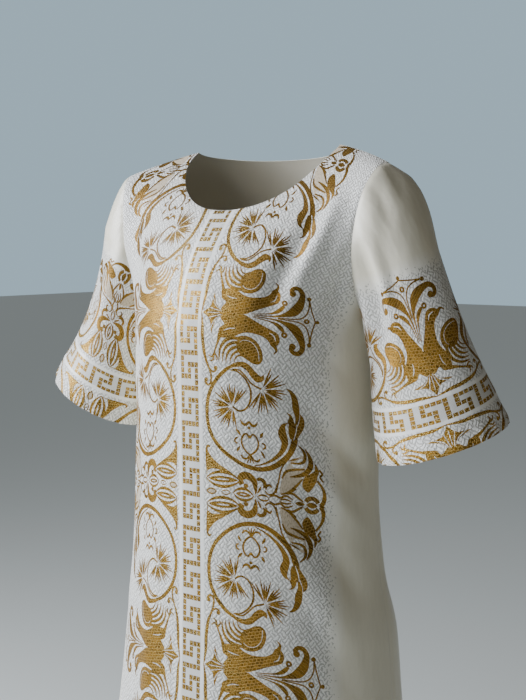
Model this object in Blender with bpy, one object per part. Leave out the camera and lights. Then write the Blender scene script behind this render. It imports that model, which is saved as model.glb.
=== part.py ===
"""Full-length kaftan of figured brocade, in the shape it has when it is worn, with nothing inside it.

Metres, +Z up. The front faces -Y and the wearer's left is +X. The origin is midway between the neck
ends of the two shoulder seams, where the wearer's shoulders hold the garment up.
Four pieces are cut and sewn: front, back and two flared sleeves. Each is one closed cloth wall.
"""

from collections import namedtuple

import bmesh
import bpy
import numpy as np

# Cloth and seams
WALL = 0.0015
SEAM_GAP = 0.0003

# Driving sizes of the body
NECK_HALF = 0.106
NECK_DOWN_FRONT = 0.128
NECK_DOWN_BACK = 0.045
NECK_SQUARENESS = 2.1
UNDERARM_DOWN = 0.285
UNDERARM_Z = -0.2135
LENGTH = 1.36
HEM_DOWN = UNDERARM_DOWN + UNDERARM_Z + LENGTH

# Sections of the yoke, from the shoulder seam to the underarm. Each runs from the middle of the
# panel to the armhole edge. down is the distance down the middle, and turn is the angle in degrees
# that the cloth turns through between the middle and the edge.
Section = namedtuple("Section", "down middle_y middle_z edge_x edge_y edge_z turn")
SHOULDER_TIP = (0.185, -0.026, -0.024)
UNDERARM = (0.163, -0.005, -0.208)
FRONT_YOKE = (
    Section(0.000, 0.013, 0.012, *SHOULDER_TIP, 25),
    Section(0.030, -0.010, -0.007, 0.184, -0.043, -0.029, 28),
    Section(0.086, -0.052, -0.045, 0.175, -0.064, -0.062, 36),
    Section(0.158, -0.100, -0.097, 0.168, -0.070, -0.112, 46),
    Section(0.215, -0.131, -0.146, 0.164, -0.058, -0.158, 60),
    Section(0.262, -0.145, -0.191, 0.162, -0.034, -0.194, 78),
    Section(UNDERARM_DOWN, -0.148, UNDERARM_Z, *UNDERARM, 90),
)
BACK_YOKE = (
    Section(0.000, 0.013, 0.012, *SHOULDER_TIP, 25),
    Section(0.030, 0.037, -0.002, 0.184, -0.008, -0.029, 28),
    Section(0.086, 0.070, -0.040, 0.177, 0.022, -0.062, 36),
    Section(0.158, 0.098, -0.103, 0.169, 0.044, -0.115, 46),
    Section(0.215, 0.108, -0.155, 0.164, 0.044, -0.162, 60),
    Section(0.262, 0.111, -0.195, 0.162, 0.024, -0.197, 78),
    Section(UNDERARM_DOWN, 0.112, UNDERARM_Z, *UNDERARM, 90),
)

# Level sections below the underarm
Skirt = namedtuple("Skirt", "z half_width front_y back_y side_y")
SKIRT = (
    Skirt(-0.300, 0.162, -0.147, 0.106, -0.006),
    Skirt(-0.390, 0.164, -0.146, 0.098, -0.010),
    Skirt(-0.480, 0.170, -0.146, 0.112, -0.010),
    Skirt(-0.560, 0.182, -0.147, 0.132, -0.008),
    Skirt(-0.650, 0.188, -0.150, 0.138, -0.006),
    Skirt(-0.950, 0.222, -0.172, 0.162, -0.002),
    Skirt(-LENGTH, 0.262, -0.205, 0.195, 0.000),
)

# The largest folds. across and down are distances on the cloth from the middle of the panel and
# from the shoulder seam. A negative depth is a trough and a positive one a ridge. A fold that ends
# past the hem keeps its full depth there.
Fold = namedtuple("Fold", "across down to_across to_down width depth")
FRONT_FOLDS = (
    Fold(0.150, 0.070, 0.110, 0.270, 0.012, 0.006),
    Fold(0.128, 0.090, 0.085, 0.290, 0.013, -0.006),
    Fold(-0.150, 0.090, -0.115, 0.270, 0.014, -0.005),
    Fold(0.090, 0.480, 0.190, 0.640, 0.020, 0.006),
    Fold(-0.055, 0.480, -0.075, 1.100, 0.018, 0.005),
    Fold(0.060, 0.700, 0.085, 1.440, 0.034, 0.013),
    Fold(-0.150, 0.640, -0.190, 1.440, 0.036, 0.014),
    Fold(0.170, 0.760, 0.225, 1.440, 0.034, 0.013),
    Fold(-0.055, 0.860, -0.065, 1.440, 0.032, 0.011),
)
BACK_FOLDS = (
    Fold(0.140, 0.080, 0.100, 0.280, 0.014, -0.005),
    Fold(-0.145, 0.070, -0.110, 0.260, 0.013, -0.005),
    Fold(0.040, 0.400, 0.120, 0.560, 0.022, 0.005),
    Fold(-0.050, 0.430, -0.130, 0.600, 0.020, 0.005),
    Fold(0.070, 0.640, 0.100, 1.440, 0.036, 0.014),
    Fold(-0.090, 0.720, -0.130, 1.440, 0.036, 0.013),
    Fold(0.190, 0.820, 0.235, 1.440, 0.032, 0.012),
    Fold(-0.205, 0.900, -0.245, 1.440, 0.030, 0.010),
)

# Sleeves: an oval cuff edge square to axis, and how far the cloth keeps its direction where it
# leaves the shoulder tip. out_x and axis_x point away from the body. The cloth reaches the cuff
# along SLEEVE_FALL, spread by FLARE, and leaves the underarm along UNDERARM_DIRECTION.
Cuff = namedtuple("Cuff", "side out_x y z half_wide half_deep axis_x axis_y axis_z cap_pull")
CUFFS = {
    "sleeve_left": Cuff(1, 0.257, -0.030, -0.317, 0.077, 0.060, 0.26, 0.25, -0.89, 0.062),
    "sleeve_right": Cuff(-1, 0.249, -0.028, -0.313, 0.073, 0.058, 0.43, 0.01, -0.89, 0.040),
}
SLEEVE_FALL = (0.36, -0.03, -0.93)
FLARE = 0.18
CAP_DIRECTION = (0.86, 0.00, -0.50)
CAP_BULGE = 0.10
UNDERARM_DIRECTION = (0.80, -0.03, -0.60)
UNDERARM_PULL = 0.020
CUFF_PULL = 0.110

# Mesh fineness
NECK_COLUMNS = 8
SHOULDER_COLUMNS = 7
YOKE_ROWS = 14
SKIRT_ROWS = 18
SLEEVE_ROWS = 13

CLOTH = {"Base Color": (0.78, 0.75, 0.66, 1.0), "Roughness": 0.42, "Metallic": 0.0}


def smooth(stations, values, at):
    """Monotone cubic curve through (stations, values), read at the given places."""
    x = np.asarray(stations, float)
    y = np.asarray(values, float)
    step = np.diff(x)
    slope = np.diff(y) / step
    tangent = np.zeros_like(y)
    tangent[0] = slope[0]
    tangent[-1] = slope[-1]
    for i in range(1, len(x) - 1):
        if slope[i - 1] * slope[i] > 0:
            before = 2 * step[i] + step[i - 1]
            after = step[i] + 2 * step[i - 1]
            tangent[i] = (before + after) / (before / slope[i - 1] + after / slope[i])
    at = np.clip(np.asarray(at, float), x[0], x[-1])
    i = np.clip(np.searchsorted(x, at, side="right") - 1, 0, len(x) - 2)
    h = step[i]
    t = (at - x[i]) / h
    return (
        (1 + 2 * t) * (1 - t) ** 2 * y[i]
        + t * (1 - t) ** 2 * h * tangent[i]
        + t * t * (3 - 2 * t) * y[i + 1]
        + t * t * (t - 1) * h * tangent[i + 1]
    )


def unit(v):
    return v / np.linalg.norm(v, axis=-1, keepdims=True)


def panel_sections(yoke, outer_y):
    """All the sections of a panel, shoulder to hem, as a dict of columns."""
    rows = list(yoke)
    for s in SKIRT:
        down = UNDERARM_DOWN + UNDERARM_Z - s.z
        rows.append(Section(down, getattr(s, outer_y), s.z, s.half_width, s.side_y, s.z, 90))
    return {name: [getattr(r, name) for r in rows] for name in Section._fields}


def plain_point(sections, across, down):
    """Points of a panel before its folds. across is -1 and 1 at the edges and 0 in the middle."""
    read = {}
    for name in ("middle_y", "middle_z", "edge_x", "edge_y", "edge_z", "turn"):
        read[name] = smooth(sections["down"], sections[name], down)
    turn = np.radians(read["turn"])
    angle = across * turn
    round_off = (1 - np.cos(angle)) / (1 - np.cos(turn))
    x = read["edge_x"] * np.sin(angle) / np.sin(turn)
    y = read["middle_y"] + (read["edge_y"] - read["middle_y"]) * round_off
    z = read["middle_z"] + (read["edge_z"] - read["middle_z"]) * round_off
    return np.stack([x, y, z], -1)


def half_girth(sections, down):
    """Length of cloth from the middle of a panel to its edge, along the section at down."""
    share = np.linspace(0, 1, 17)
    points = plain_point(sections, np.broadcast_to(share, down.shape + (17,)), down[..., None])
    return np.linalg.norm(np.diff(points, axis=-2), axis=-1).sum(-1)


def fold_height(folds, across, down):
    """How far the folds move the cloth out, from distances on the cloth."""
    height = np.zeros_like(across)
    for f in folds:
        start = np.array([f.across, f.down])
        run = np.array([f.to_across, f.to_down]) - start
        place = np.stack([across, down], -1) - start
        share = np.clip(place @ run / (run @ run), 0, 1)
        away = np.linalg.norm(place - share[..., None] * run, axis=-1)
        runs_off = f.to_down > HEM_DOWN
        fade = np.sin(np.pi * (np.minimum(0.5, share) if runs_off else share))
        height += f.depth * fade * np.exp(-((away / f.width) ** 2))
    return height


def panel_point(sections, folds, across, down, outward_y):
    """Points of a panel's inner face, and the outward normals there."""
    step = 1e-4
    plain = plain_point(sections, across, down)
    along = plain_point(sections, across, down + step) - plain_point(sections, across, down - step)
    over = plain_point(sections, across + step, down) - plain_point(sections, across - step, down)
    normal = unit(np.cross(along, over)) * -outward_y
    girth = half_girth(sections, down)
    height = fold_height(folds, across * girth, down)
    seam_calm = np.clip((1 - np.abs(across)) / 0.12, 0, 1)
    return plain + normal * (height * seam_calm)[..., None], normal


def neckline(depth, neck_across):
    """The neckline from its lowest point to the shoulder, as (across, down) pairs."""
    angle = np.linspace(0, np.pi / 2, NECK_COLUMNS + 1)
    power = 2 / NECK_SQUARENESS
    return neck_across * np.sin(angle) ** power, depth * np.abs(np.cos(angle)) ** power


def panel_grid(sections, neck_depth):
    """The (across, down) places of a panel's points, a row each from the top edge to the hem."""
    neck_x = smooth(sections["down"], sections["edge_x"], 0.0)
    turn = np.radians(sections["turn"][0])
    neck_across = np.arcsin(NECK_HALF / neck_x * np.sin(turn)) / turn
    across, top = neckline(neck_depth, neck_across)
    shoulder = np.linspace(neck_across, 1, SHOULDER_COLUMNS + 1)[1:]
    across = np.concatenate([across, shoulder])
    top = np.concatenate([top, np.zeros(SHOULDER_COLUMNS)])
    across = np.concatenate([-across[:0:-1], across])
    top = np.concatenate([top[:0:-1], top])
    yoke_share = np.linspace(0, 1, YOKE_ROWS + 1)[:, None]
    yoke = top + (UNDERARM_DOWN - top) * yoke_share
    hem_down = sections["down"][-1]
    skirt = np.linspace(UNDERARM_DOWN, hem_down, SKIRT_ROWS + 1)[1:, None] + 0 * top
    down = np.concatenate([yoke, skirt])
    return np.broadcast_to(across, down.shape).copy(), down


def pull_back_from_seams(sections, across, down):
    """Moves a panel's edges half a gap back from its seams."""
    half = SEAM_GAP / 2
    girth = half_girth(sections, down[:, -1])
    across[:, -1] = 1 - half / girth
    across[:, 0] = -across[:, -1]
    down[0, :SHOULDER_COLUMNS + 1] = half
    down[0, -SHOULDER_COLUMNS - 1:] = half


def sleeve_directions(ring):
    """Directions in which the cloth leaves the armhole, for its points from tip to tip."""
    height = (ring[:, 2:] - UNDERARM[2]) / (SHOULDER_TIP[2] - UNDERARM[2])
    forward = ring[:, 1:2] - ring[:, 1:2].mean()
    bulge = np.array([[0, 1, 0]]) * forward / np.abs(forward).max() * CAP_BULGE
    return unit(np.array(CAP_DIRECTION) * height + np.array(UNDERARM_DIRECTION) * (1 - height) + bulge)


def cuff_spokes(ring, cuff):
    """Directions from the middle of the cuff to its edge, one for each point of the armhole ring."""
    axis = unit(np.array([cuff.axis_x, cuff.axis_y, cuff.axis_z]))
    forward = unit(np.cross(axis, [1, 0, 0]))
    outward = np.cross(forward, axis)
    steps = np.linalg.norm(np.diff(ring, axis=0), axis=1)
    walked = np.concatenate([[0], np.cumsum(steps)])
    underarm = len(ring) // 2
    front = walked[: underarm + 1] / walked[underarm]
    back = 1 + (walked[underarm + 1:] - walked[underarm]) / (walked[-1] - walked[underarm])
    angle = np.pi * np.concatenate([front, back])[:, None]
    return np.cos(angle) * outward, np.sin(angle) * forward


def sleeve_points(ring, cuff):
    """The inner face's points, a row each from armhole to cuff, and the outward normals there."""
    leave = sleeve_directions(ring)
    across, forward = cuff_spokes(ring, cuff)
    edge = np.array([cuff.out_x, cuff.y, cuff.z]) + cuff.half_wide * across + cuff.half_deep * forward
    height = np.clip((ring[:, 2:] - UNDERARM[2]) / (SHOULDER_TIP[2] - UNDERARM[2]), 0, 1)
    pull = UNDERARM_PULL + (cuff.cap_pull - UNDERARM_PULL) * height
    start = ring + leave * SEAM_GAP / 2
    first = start + leave * pull
    fall = unit(unit(np.array(SLEEVE_FALL)) + FLARE * (across + forward))
    second = edge - fall * CUFF_PULL
    t = np.linspace(0, 1, SLEEVE_ROWS + 1)[:, None, None]
    points = (1 - t) ** 3 * start + 3 * t * (1 - t) ** 2 * first + 3 * t * t * (1 - t) * second + t**3 * edge
    along = np.gradient(points, axis=0)
    around = np.roll(points[:, :-1], -1, 1) - np.roll(points[:, :-1], 1, 1)
    around = np.concatenate([around, around[:, :1]], 1)
    return points, unit(np.cross(around, along))


def set_wall(inner, normal, closed):
    """A closed wall over a grid of inner points. closed joins the first column to the last one."""
    outer = inner + normal * WALL
    if closed:
        outer = outer[:, :-1]
        inner = inner[:, :-1]
    rows, columns = outer.shape[:2]
    mesh = bmesh.new()
    top = [[mesh.verts.new(p) for p in row] for row in outer]
    under = [[mesh.verts.new(p) for p in row] for row in inner]
    last = columns if closed else columns - 1
    for i in range(rows - 1):
        for j in range(last):
            k = (j + 1) % columns
            mesh.faces.new((top[i][j], top[i + 1][j], top[i + 1][k], top[i][k]))
            mesh.faces.new((under[i][j], under[i][k], under[i + 1][k], under[i + 1][j]))
    for i in (0, rows - 1):
        for j in range(last):
            k = (j + 1) % columns
            mesh.faces.new((top[i][j], top[i][k], under[i][k], under[i][j]))
    if not closed:
        for j in (0, columns - 1):
            for i in range(rows - 1):
                mesh.faces.new((top[i][j], under[i][j], under[i + 1][j], top[i + 1][j]))
    bmesh.ops.triangulate(mesh, faces=mesh.faces[:])
    bmesh.ops.recalc_face_normals(mesh, faces=mesh.faces[:])
    return mesh


def cloth_material(name):
    material = bpy.data.materials.new(name)
    material.use_nodes = True
    shader = material.node_tree.nodes["Principled BSDF"]
    for socket, value in CLOTH.items():
        shader.inputs[socket].default_value = value
    return material


def add_piece(name, inner, normal, closed=False):
    """One sewn piece as its own object."""
    mesh = set_wall(inner, normal, closed)
    data = bpy.data.meshes.new(name)
    mesh.to_mesh(data)
    mesh.free()
    data.shade_smooth()
    data.set_sharp_from_angle(angle=np.radians(40))
    data.materials.append(cloth_material(name + "_brocade"))
    piece = bpy.data.objects.new(name, data)
    bpy.context.scene.collection.objects.link(piece)
    return piece


def clear_scene():
    for old in list(bpy.data.objects):
        bpy.data.objects.remove(old, do_unlink=True)


def share_seam_normals(front, back, sleeves):
    """Gives the pieces that meet at a seam one wall direction there, so their walls don't cross."""
    shoulder = list(range(SHOULDER_COLUMNS + 1))
    shoulder += [-1 - j for j in shoulder]
    both = unit(front[0, shoulder] + back[0, shoulder])
    front[0, shoulder] = both
    back[0, shoulder] = both
    for column, name in ((-1, "sleeve_left"), (0, "sleeve_right")):
        side = unit(front[YOKE_ROWS:, column] + back[YOKE_ROWS:, column])
        front[YOKE_ROWS:, column] = side
        back[YOKE_ROWS:, column] = side
        sleeve = sleeves[name]
        ring = np.concatenate([front[: YOKE_ROWS + 1, column], back[YOKE_ROWS - 1:: -1, column]])
        ring = unit(ring + sleeve[0])
        sleeve[0] = ring
        front[: YOKE_ROWS + 1, column] = ring[: YOKE_ROWS + 1]
        back[: YOKE_ROWS + 1, column] = ring[: YOKE_ROWS - 1: -1]


clear_scene()
panels = {}
for name, yoke, outer_y, neck_depth, folds, outward_y in (
    ("front", FRONT_YOKE, "front_y", NECK_DOWN_FRONT, FRONT_FOLDS, -1),
    ("back", BACK_YOKE, "back_y", NECK_DOWN_BACK, BACK_FOLDS, 1),
):
    sections = panel_sections(yoke, outer_y)
    across, down = panel_grid(sections, neck_depth)
    edge = plain_point(sections, across[: YOKE_ROWS + 1, -1], down[: YOKE_ROWS + 1, -1])
    pull_back_from_seams(sections, across, down)
    inner, normal = panel_point(sections, folds, across, down, outward_y)
    panels[name] = (inner, normal, edge)

front_inner, front_normal, front_edge = panels["front"]
back_inner, back_normal, back_edge = panels["back"]
ring = np.concatenate([front_edge, back_edge[-2::-1]])
sleeves = {}
sleeve_normals = {}
for name, cuff in CUFFS.items():
    inner, normal = sleeve_points(ring, cuff)
    flip = np.array([cuff.side, 1, 1])
    sleeves[name] = inner * flip
    sleeve_normals[name] = normal * flip
share_seam_normals(front_normal, back_normal, sleeve_normals)

add_piece("front", front_inner, front_normal)
add_piece("back", back_inner, back_normal)
for name in CUFFS:
    add_piece(name, sleeves[name], sleeve_normals[name], closed=True)
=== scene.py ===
"""The looks of a full-length kaftan: cloth, folds, woven border, light and camera.

The garment is cream satin brocade. A woven border of gold thread runs down the middle of the front and
round the lower sleeves. Each piece is a thin shell on its solid's form, with finer folds. The border is
laid into the shell's own faces, so each motif has a crisp edge at any distance.
Metres, +Z up. The front faces -Y and the wearer's left is +X.
"""

from collections import namedtuple
from functools import partial

import bpy
import numpy as np
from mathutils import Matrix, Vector, kdtree
from mathutils.geometry import delaunay_2d_cdt


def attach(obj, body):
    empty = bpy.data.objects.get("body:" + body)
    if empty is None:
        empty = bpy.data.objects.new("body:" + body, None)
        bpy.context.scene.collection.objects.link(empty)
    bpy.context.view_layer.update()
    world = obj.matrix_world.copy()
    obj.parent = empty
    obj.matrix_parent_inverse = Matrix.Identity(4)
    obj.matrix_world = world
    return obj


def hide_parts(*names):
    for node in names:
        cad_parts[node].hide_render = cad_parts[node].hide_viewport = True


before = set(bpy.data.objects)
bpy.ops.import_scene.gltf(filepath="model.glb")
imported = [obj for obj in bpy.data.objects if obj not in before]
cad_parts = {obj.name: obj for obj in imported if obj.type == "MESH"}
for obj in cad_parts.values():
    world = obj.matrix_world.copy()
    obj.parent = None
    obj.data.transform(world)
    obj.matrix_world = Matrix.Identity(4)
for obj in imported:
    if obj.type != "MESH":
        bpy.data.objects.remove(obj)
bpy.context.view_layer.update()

bl_info = {
    "name": "Brocade Kaftan",
    "version": (1, 0, 0),
    "blender": (4, 5, 0),
    "location": "3D View > Sidebar > Kaftan",
    "description": "Dresses the kaftan's solids in figured brocade and sets the stage",
    "category": "Object",
}

MM = 0.001

# Cut of the body, as in the solids
NECK_HALF = 0.106
NECK_DOWN_FRONT = 0.128
NECK_DOWN_BACK = 0.045
NECK_SQUARENESS = 2.1
UNDERARM_DOWN = 0.285
UNDERARM_Z = -0.2135
LENGTH = 1.36
HEM_DOWN = UNDERARM_DOWN + UNDERARM_Z + LENGTH

# The sections and the sleeves' curves give the solids' inner face. The right side lies this far out.
FACE_OUT = 0.0013

# Sections of the yoke, from the shoulder seam to the underarm
Section = namedtuple("Section", "down middle_y middle_z edge_x edge_y edge_z turn")
SHOULDER_TIP = (0.185, -0.026, -0.024)
UNDERARM = (0.163, -0.005, -0.208)
FRONT_YOKE = (
    Section(0.000, 0.013, 0.012, *SHOULDER_TIP, 25),
    Section(0.030, -0.010, -0.007, 0.184, -0.043, -0.029, 28),
    Section(0.086, -0.052, -0.045, 0.175, -0.064, -0.062, 36),
    Section(0.158, -0.100, -0.097, 0.168, -0.070, -0.112, 46),
    Section(0.215, -0.131, -0.146, 0.164, -0.058, -0.158, 60),
    Section(0.262, -0.145, -0.191, 0.162, -0.034, -0.194, 78),
    Section(UNDERARM_DOWN, -0.148, UNDERARM_Z, *UNDERARM, 90),
)
BACK_YOKE = (
    Section(0.000, 0.013, 0.012, *SHOULDER_TIP, 25),
    Section(0.030, 0.037, -0.002, 0.184, -0.008, -0.029, 28),
    Section(0.086, 0.070, -0.040, 0.177, 0.022, -0.062, 36),
    Section(0.158, 0.098, -0.103, 0.169, 0.044, -0.115, 46),
    Section(0.215, 0.108, -0.155, 0.164, 0.044, -0.162, 60),
    Section(0.262, 0.111, -0.195, 0.162, 0.024, -0.197, 78),
    Section(UNDERARM_DOWN, 0.112, UNDERARM_Z, *UNDERARM, 90),
)
Skirt = namedtuple("Skirt", "z half_width front_y back_y side_y")
SKIRT = (
    Skirt(-0.300, 0.162, -0.147, 0.106, -0.006),
    Skirt(-0.390, 0.164, -0.146, 0.098, -0.010),
    Skirt(-0.480, 0.170, -0.146, 0.112, -0.010),
    Skirt(-0.560, 0.182, -0.147, 0.132, -0.008),
    Skirt(-0.650, 0.188, -0.150, 0.138, -0.006),
    Skirt(-0.950, 0.222, -0.172, 0.162, -0.002),
    Skirt(-LENGTH, 0.262, -0.205, 0.195, 0.000),
)

# Folds on the cloth. The first rows are the solids' own. The rest are finer creases and soft troughs.
Fold = namedtuple("Fold", "across down to_across to_down width depth")
FRONT_FOLDS = (
    Fold(0.150, 0.070, 0.110, 0.270, 0.012, 0.006),
    Fold(0.128, 0.090, 0.085, 0.290, 0.013, -0.006),
    Fold(-0.150, 0.090, -0.115, 0.270, 0.014, -0.005),
    Fold(0.090, 0.480, 0.190, 0.640, 0.020, 0.006),
    Fold(-0.055, 0.480, -0.075, 1.100, 0.018, 0.005),
    Fold(0.060, 0.700, 0.085, 1.440, 0.034, 0.013),
    Fold(-0.150, 0.640, -0.190, 1.440, 0.036, 0.014),
    Fold(0.170, 0.760, 0.225, 1.440, 0.034, 0.013),
    Fold(-0.055, 0.860, -0.065, 1.440, 0.032, 0.011),
    Fold(0.166, 0.110, 0.150, 0.240, 0.008, 0.0016),
    Fold(0.176, 0.205, 0.130, 0.300, 0.009, -0.0020),
    Fold(0.140, 0.285, 0.196, 0.350, 0.008, -0.0020),
    Fold(0.112, 0.340, 0.222, 0.455, 0.013, -0.0075),
    Fold(0.096, 0.380, 0.212, 0.515, 0.014, 0.0060),
    Fold(0.130, 0.470, 0.216, 0.600, 0.014, -0.0045),
    Fold(0.178, 0.150, 0.164, 0.300, 0.012, -0.0055),
    Fold(-0.170, 0.240, -0.130, 0.330, 0.008, -0.0018),
    Fold(-0.190, 0.330, -0.120, 0.420, 0.012, -0.0018),
    Fold(0.120, 0.560, 0.195, 0.700, 0.014, -0.0026),
    Fold(-0.020, 0.720, -0.030, 0.980, 0.012, -0.0018),
    Fold(0.020, 0.180, 0.050, 0.260, 0.012, -0.0010),
)
BACK_FOLDS = (
    Fold(0.140, 0.080, 0.100, 0.280, 0.014, -0.005),
    Fold(-0.145, 0.070, -0.110, 0.260, 0.013, -0.005),
    Fold(0.040, 0.400, 0.120, 0.560, 0.022, 0.005),
    Fold(-0.050, 0.430, -0.130, 0.600, 0.020, 0.005),
    Fold(0.070, 0.640, 0.100, 1.440, 0.036, 0.014),
    Fold(-0.090, 0.720, -0.130, 1.440, 0.036, 0.013),
    Fold(0.190, 0.820, 0.235, 1.440, 0.032, 0.012),
    Fold(-0.205, 0.900, -0.245, 1.440, 0.030, 0.010),
    Fold(0.172, 0.150, 0.120, 0.290, 0.008, -0.0022),
    Fold(0.116, 0.170, 0.150, 1.100, 0.062, -0.0250),
    Fold(0.122, 0.330, 0.138, 0.640, 0.050, -0.0075),
    Fold(-0.176, 0.180, -0.130, 0.300, 0.008, -0.0024),
    Fold(-0.020, 0.330, 0.110, 0.410, 0.012, -0.0020),
    Fold(0.030, 0.360, -0.110, 0.440, 0.011, -0.0020),
    Fold(0.190, 0.350, 0.110, 0.450, 0.011, -0.0018),
    Fold(0.010, 0.640, 0.015, 1.000, 0.013, -0.0022),
)

# Sleeves, as in the solids
Cuff = namedtuple("Cuff", "side out_x y z half_wide half_deep axis_x axis_y axis_z cap_pull")
CUFFS = {
    "sleeve_left": Cuff(1, 0.257, -0.030, -0.317, 0.077, 0.060, 0.26, 0.25, -0.89, 0.062),
    "sleeve_right": Cuff(-1, 0.249, -0.028, -0.313, 0.073, 0.058, 0.43, 0.01, -0.89, 0.040),
}
SLEEVE_FALL = (0.36, -0.03, -0.93)
FLARE = 0.18
CAP_DIRECTION = (0.86, 0.00, -0.50)
CAP_BULGE = 0.10
UNDERARM_DIRECTION = (0.80, -0.03, -0.60)
UNDERARM_PULL = 0.020
CUFF_PULL = 0.110
SLEEVE_COLUMNS = 56
SLEEVE_ROWS = 60

# Sleeve creases. across is the distance round the sleeve from its top line, less than 0 towards the
# front. down is the distance up from the cuff edge.
SLEEVE_FOLDS = {
    "sleeve_left": (
        Fold(-0.100, 0.266, -0.122, 0.105, 0.014, -0.0085),
        Fold(-0.132, 0.240, -0.150, 0.110, 0.011, 0.0050),
        Fold(-0.072, 0.300, -0.098, 0.140, 0.012, 0.0050),
        Fold(-0.158, 0.185, -0.164, 0.105, 0.009, 0.0035),
        Fold(-0.070, 0.270, -0.085, 0.150, 0.014, -0.0020),
        Fold(0.090, 0.240, 0.120, 0.110, 0.012, -0.0035),
        Fold(0.140, 0.190, 0.160, 0.100, 0.010, 0.0030),
        Fold(-0.020, 0.200, -0.030, 0.020, 0.020, 0.0015),
        Fold(0.044, 0.270, 0.050, 0.040, 0.046, -0.0075),
        Fold(0.036, 0.312, 0.048, 0.205, 0.030, 0.0065),
        Fold(-0.008, 0.318, -0.016, 0.262, 0.006, -0.0026),
        Fold(0.012, 0.318, 0.014, 0.256, 0.007, 0.0022),
        Fold(-0.034, 0.312, -0.046, 0.240, 0.006, -0.0026),
        Fold(-0.054, 0.300, -0.070, 0.226, 0.007, 0.0022),
        Fold(-0.086, 0.270, -0.130, 0.200, 0.008, 0.0016),
        Fold(-0.150, 0.205, -0.110, 0.150, 0.006, -0.0022),
    ),
    "sleeve_right": (
        Fold(-0.044, 0.215, -0.046, 0.030, 0.034, -0.0120),
        Fold(-0.120, 0.235, -0.170, 0.175, 0.008, -0.0050),
        Fold(-0.085, 0.250, -0.150, 0.150, 0.012, 0.0035),
        Fold(-0.150, 0.150, -0.175, 0.060, 0.012, -0.0025),
        Fold(0.095, 0.240, 0.125, 0.110, 0.012, -0.0035),
        Fold(0.140, 0.190, 0.160, 0.100, 0.010, 0.0030),
        Fold(-0.060, 0.200, -0.070, 0.030, 0.018, -0.0015),
    ),
}

# Waves at the stitched hems: two lengths, the depth, and the height of the turned-up cloth
HEM_WAVE = 0.023
HEM_LONG_WAVE = 0.037
HEM_WAVE_DEPTH = 0.0007
HEM_TURN = 0.024
# The short waves drift in and out of step, by so much and so fast. The long ones are shallower.
HEM_DRIFT = 2.2
HEM_DRIFT_RATE = 41
HEM_LONG_SHARE = 0.6

# Woven border. Sizes across it count from the middle of its key band.
REPEAT = 0.400
BIRD_DOWN = 0.2585
FADE_START = 0.142
FADE_END = 0.174
# On the yoke the quilted ground spreads to the armhole. Past this far out, distances count for less there
YOKE_DOWN = (0.20, 0.32)
YOKE_SPREAD = 0.29
SPREAD_START = 0.05
# The cloth's grain hangs lower at the sides: so far at the chest, and so far from the waist down. The
# sag starts and runs on by these distances across, to at most this share, along a curve of this power.
GRAIN_SAG = (0.0100, 0.0145)
SAG_DOWN = (0.26, 0.46)
SAG_START = 0.050
SAG_RUN = 0.095
SAG_MOST = 1.2
SAG_POWER = 1.2
# The border lies a little to the left of the front's middle, and more so from the waist down
BORDER_DOWN = (0.20, 0.31)
BORDER_SHIFT = (0.0008, 0.0042)
# At the chest it is eased wider on the right and narrower on the left, and this ends at the waist
CHEST_DOWN = (0.17, 0.31)
CHEST_EASE = (0.13, -0.03)
# Above this far down, the motifs are drawn up by this share of the way
EASE_DOWN = 0.162
EASE_UP = 0.22
# Motifs are kept this far before and past a stretch of border, because the cloth's hang moves them
PAST_ENDS = (0.02, 0.06)
MOTIF_START = 4.4
SLEEVE_KEY_UP = 0.046
# The quilted ground ends this much sooner up the sleeves
SLEEVE_FADE = 1.07
SLEEVE_BIRD = {"sleeve_left": -0.066, "sleeve_right": 0.075}
# The left cuff hangs this much past its solid
CUFF_MORE = {"sleeve_left": 0.006, "sleeve_right": 0.002}

# The key band, one unit of it from its top row down
KEY_UNIT = (
    "#####",
    "#....",
    "#.###",
    "#.#.#",
    "###.#",
    "....#",
)
KEY_COLUMN = 4.6
KEY_ROW = 6.67
KEY_SQUARE = (4.2, 5.8)
KEY_START = 24.5

# A palm spray's rays, in turn: the share of the full reach, and the start in millimetres. Every fifth
# ray is a slit of ground, and narrower.
PALM_REACHES = (1, 0.78, 0.9)
PALM_STARTS = (1.6, 5, 3)
PALM_RAY = 2.0
PALM_SLIT_EVERY = 5
PALM_FIRST_SLIT = 2
PALM_SLIT_WIDTH = 0.6

# The thinnest line in millimetres, how full a pointed oval is, and the fewest points along its side and
# round an arc
THINNEST = 0.25
LENS_POWER = 0.8
LENS_POINTS = 7
ARC_POINTS = 8

# The tones that the border is woven in. Each has a material of its own.
TONES = ("ground", "gold", "hatch", "tan", "net")

# The cloth's edge turns in by this much over this width, and these rows of points carry the turn
EDGE_ROLL = 0.0007
EDGE_ROLL_WIDTH = 0.0024
EDGE_ROWS = (0.0010, 0.0024, 0.0050)
WRONG_SIDE_ROWS = (0.004,)
# A point's distance from the edge is taken to the nearest of its places, this many to each step of it
EDGE_PARTS = 4
# Faces that meet at more than this angle keep a hard edge, as at the turned edge
HARD_EDGE = np.radians(70)

# Points along the cut's outline: round the neck, and along the shoulder, armhole, side and hem
NECK_POINTS = 56
SHOULDER_POINTS = 18
ARMHOLE_POINTS = 60
SIDE_POINTS = 170
HEM_POINTS = 50
CUFF_POINTS = 110
UNDERARM_POINTS = 24
# A body panel's half width is measured at this many heights, along this many points
GIRTH_ROWS = 1200
GIRTH_POINTS = 17
# Rows of the plain cloth's points lie this share of their spacing apart, as in even triangles. No point
# lies nearer to the cut's edge than these shares of the grid's spacing and of the first edge row's depth.
ROW_SHARE = 0.87
GRID_CLEAR = 0.45
EDGE_CLEAR = 0.7
# Two points nearer than this are one, and a triangle is dropped when twice its area is less than this
SAME_POINT = 1e-6
SLIVER_AREA = 1e-13
# Points tested against a ring at a time, so that the tables stay small
TESTED_AT_ONCE = 4000
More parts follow.
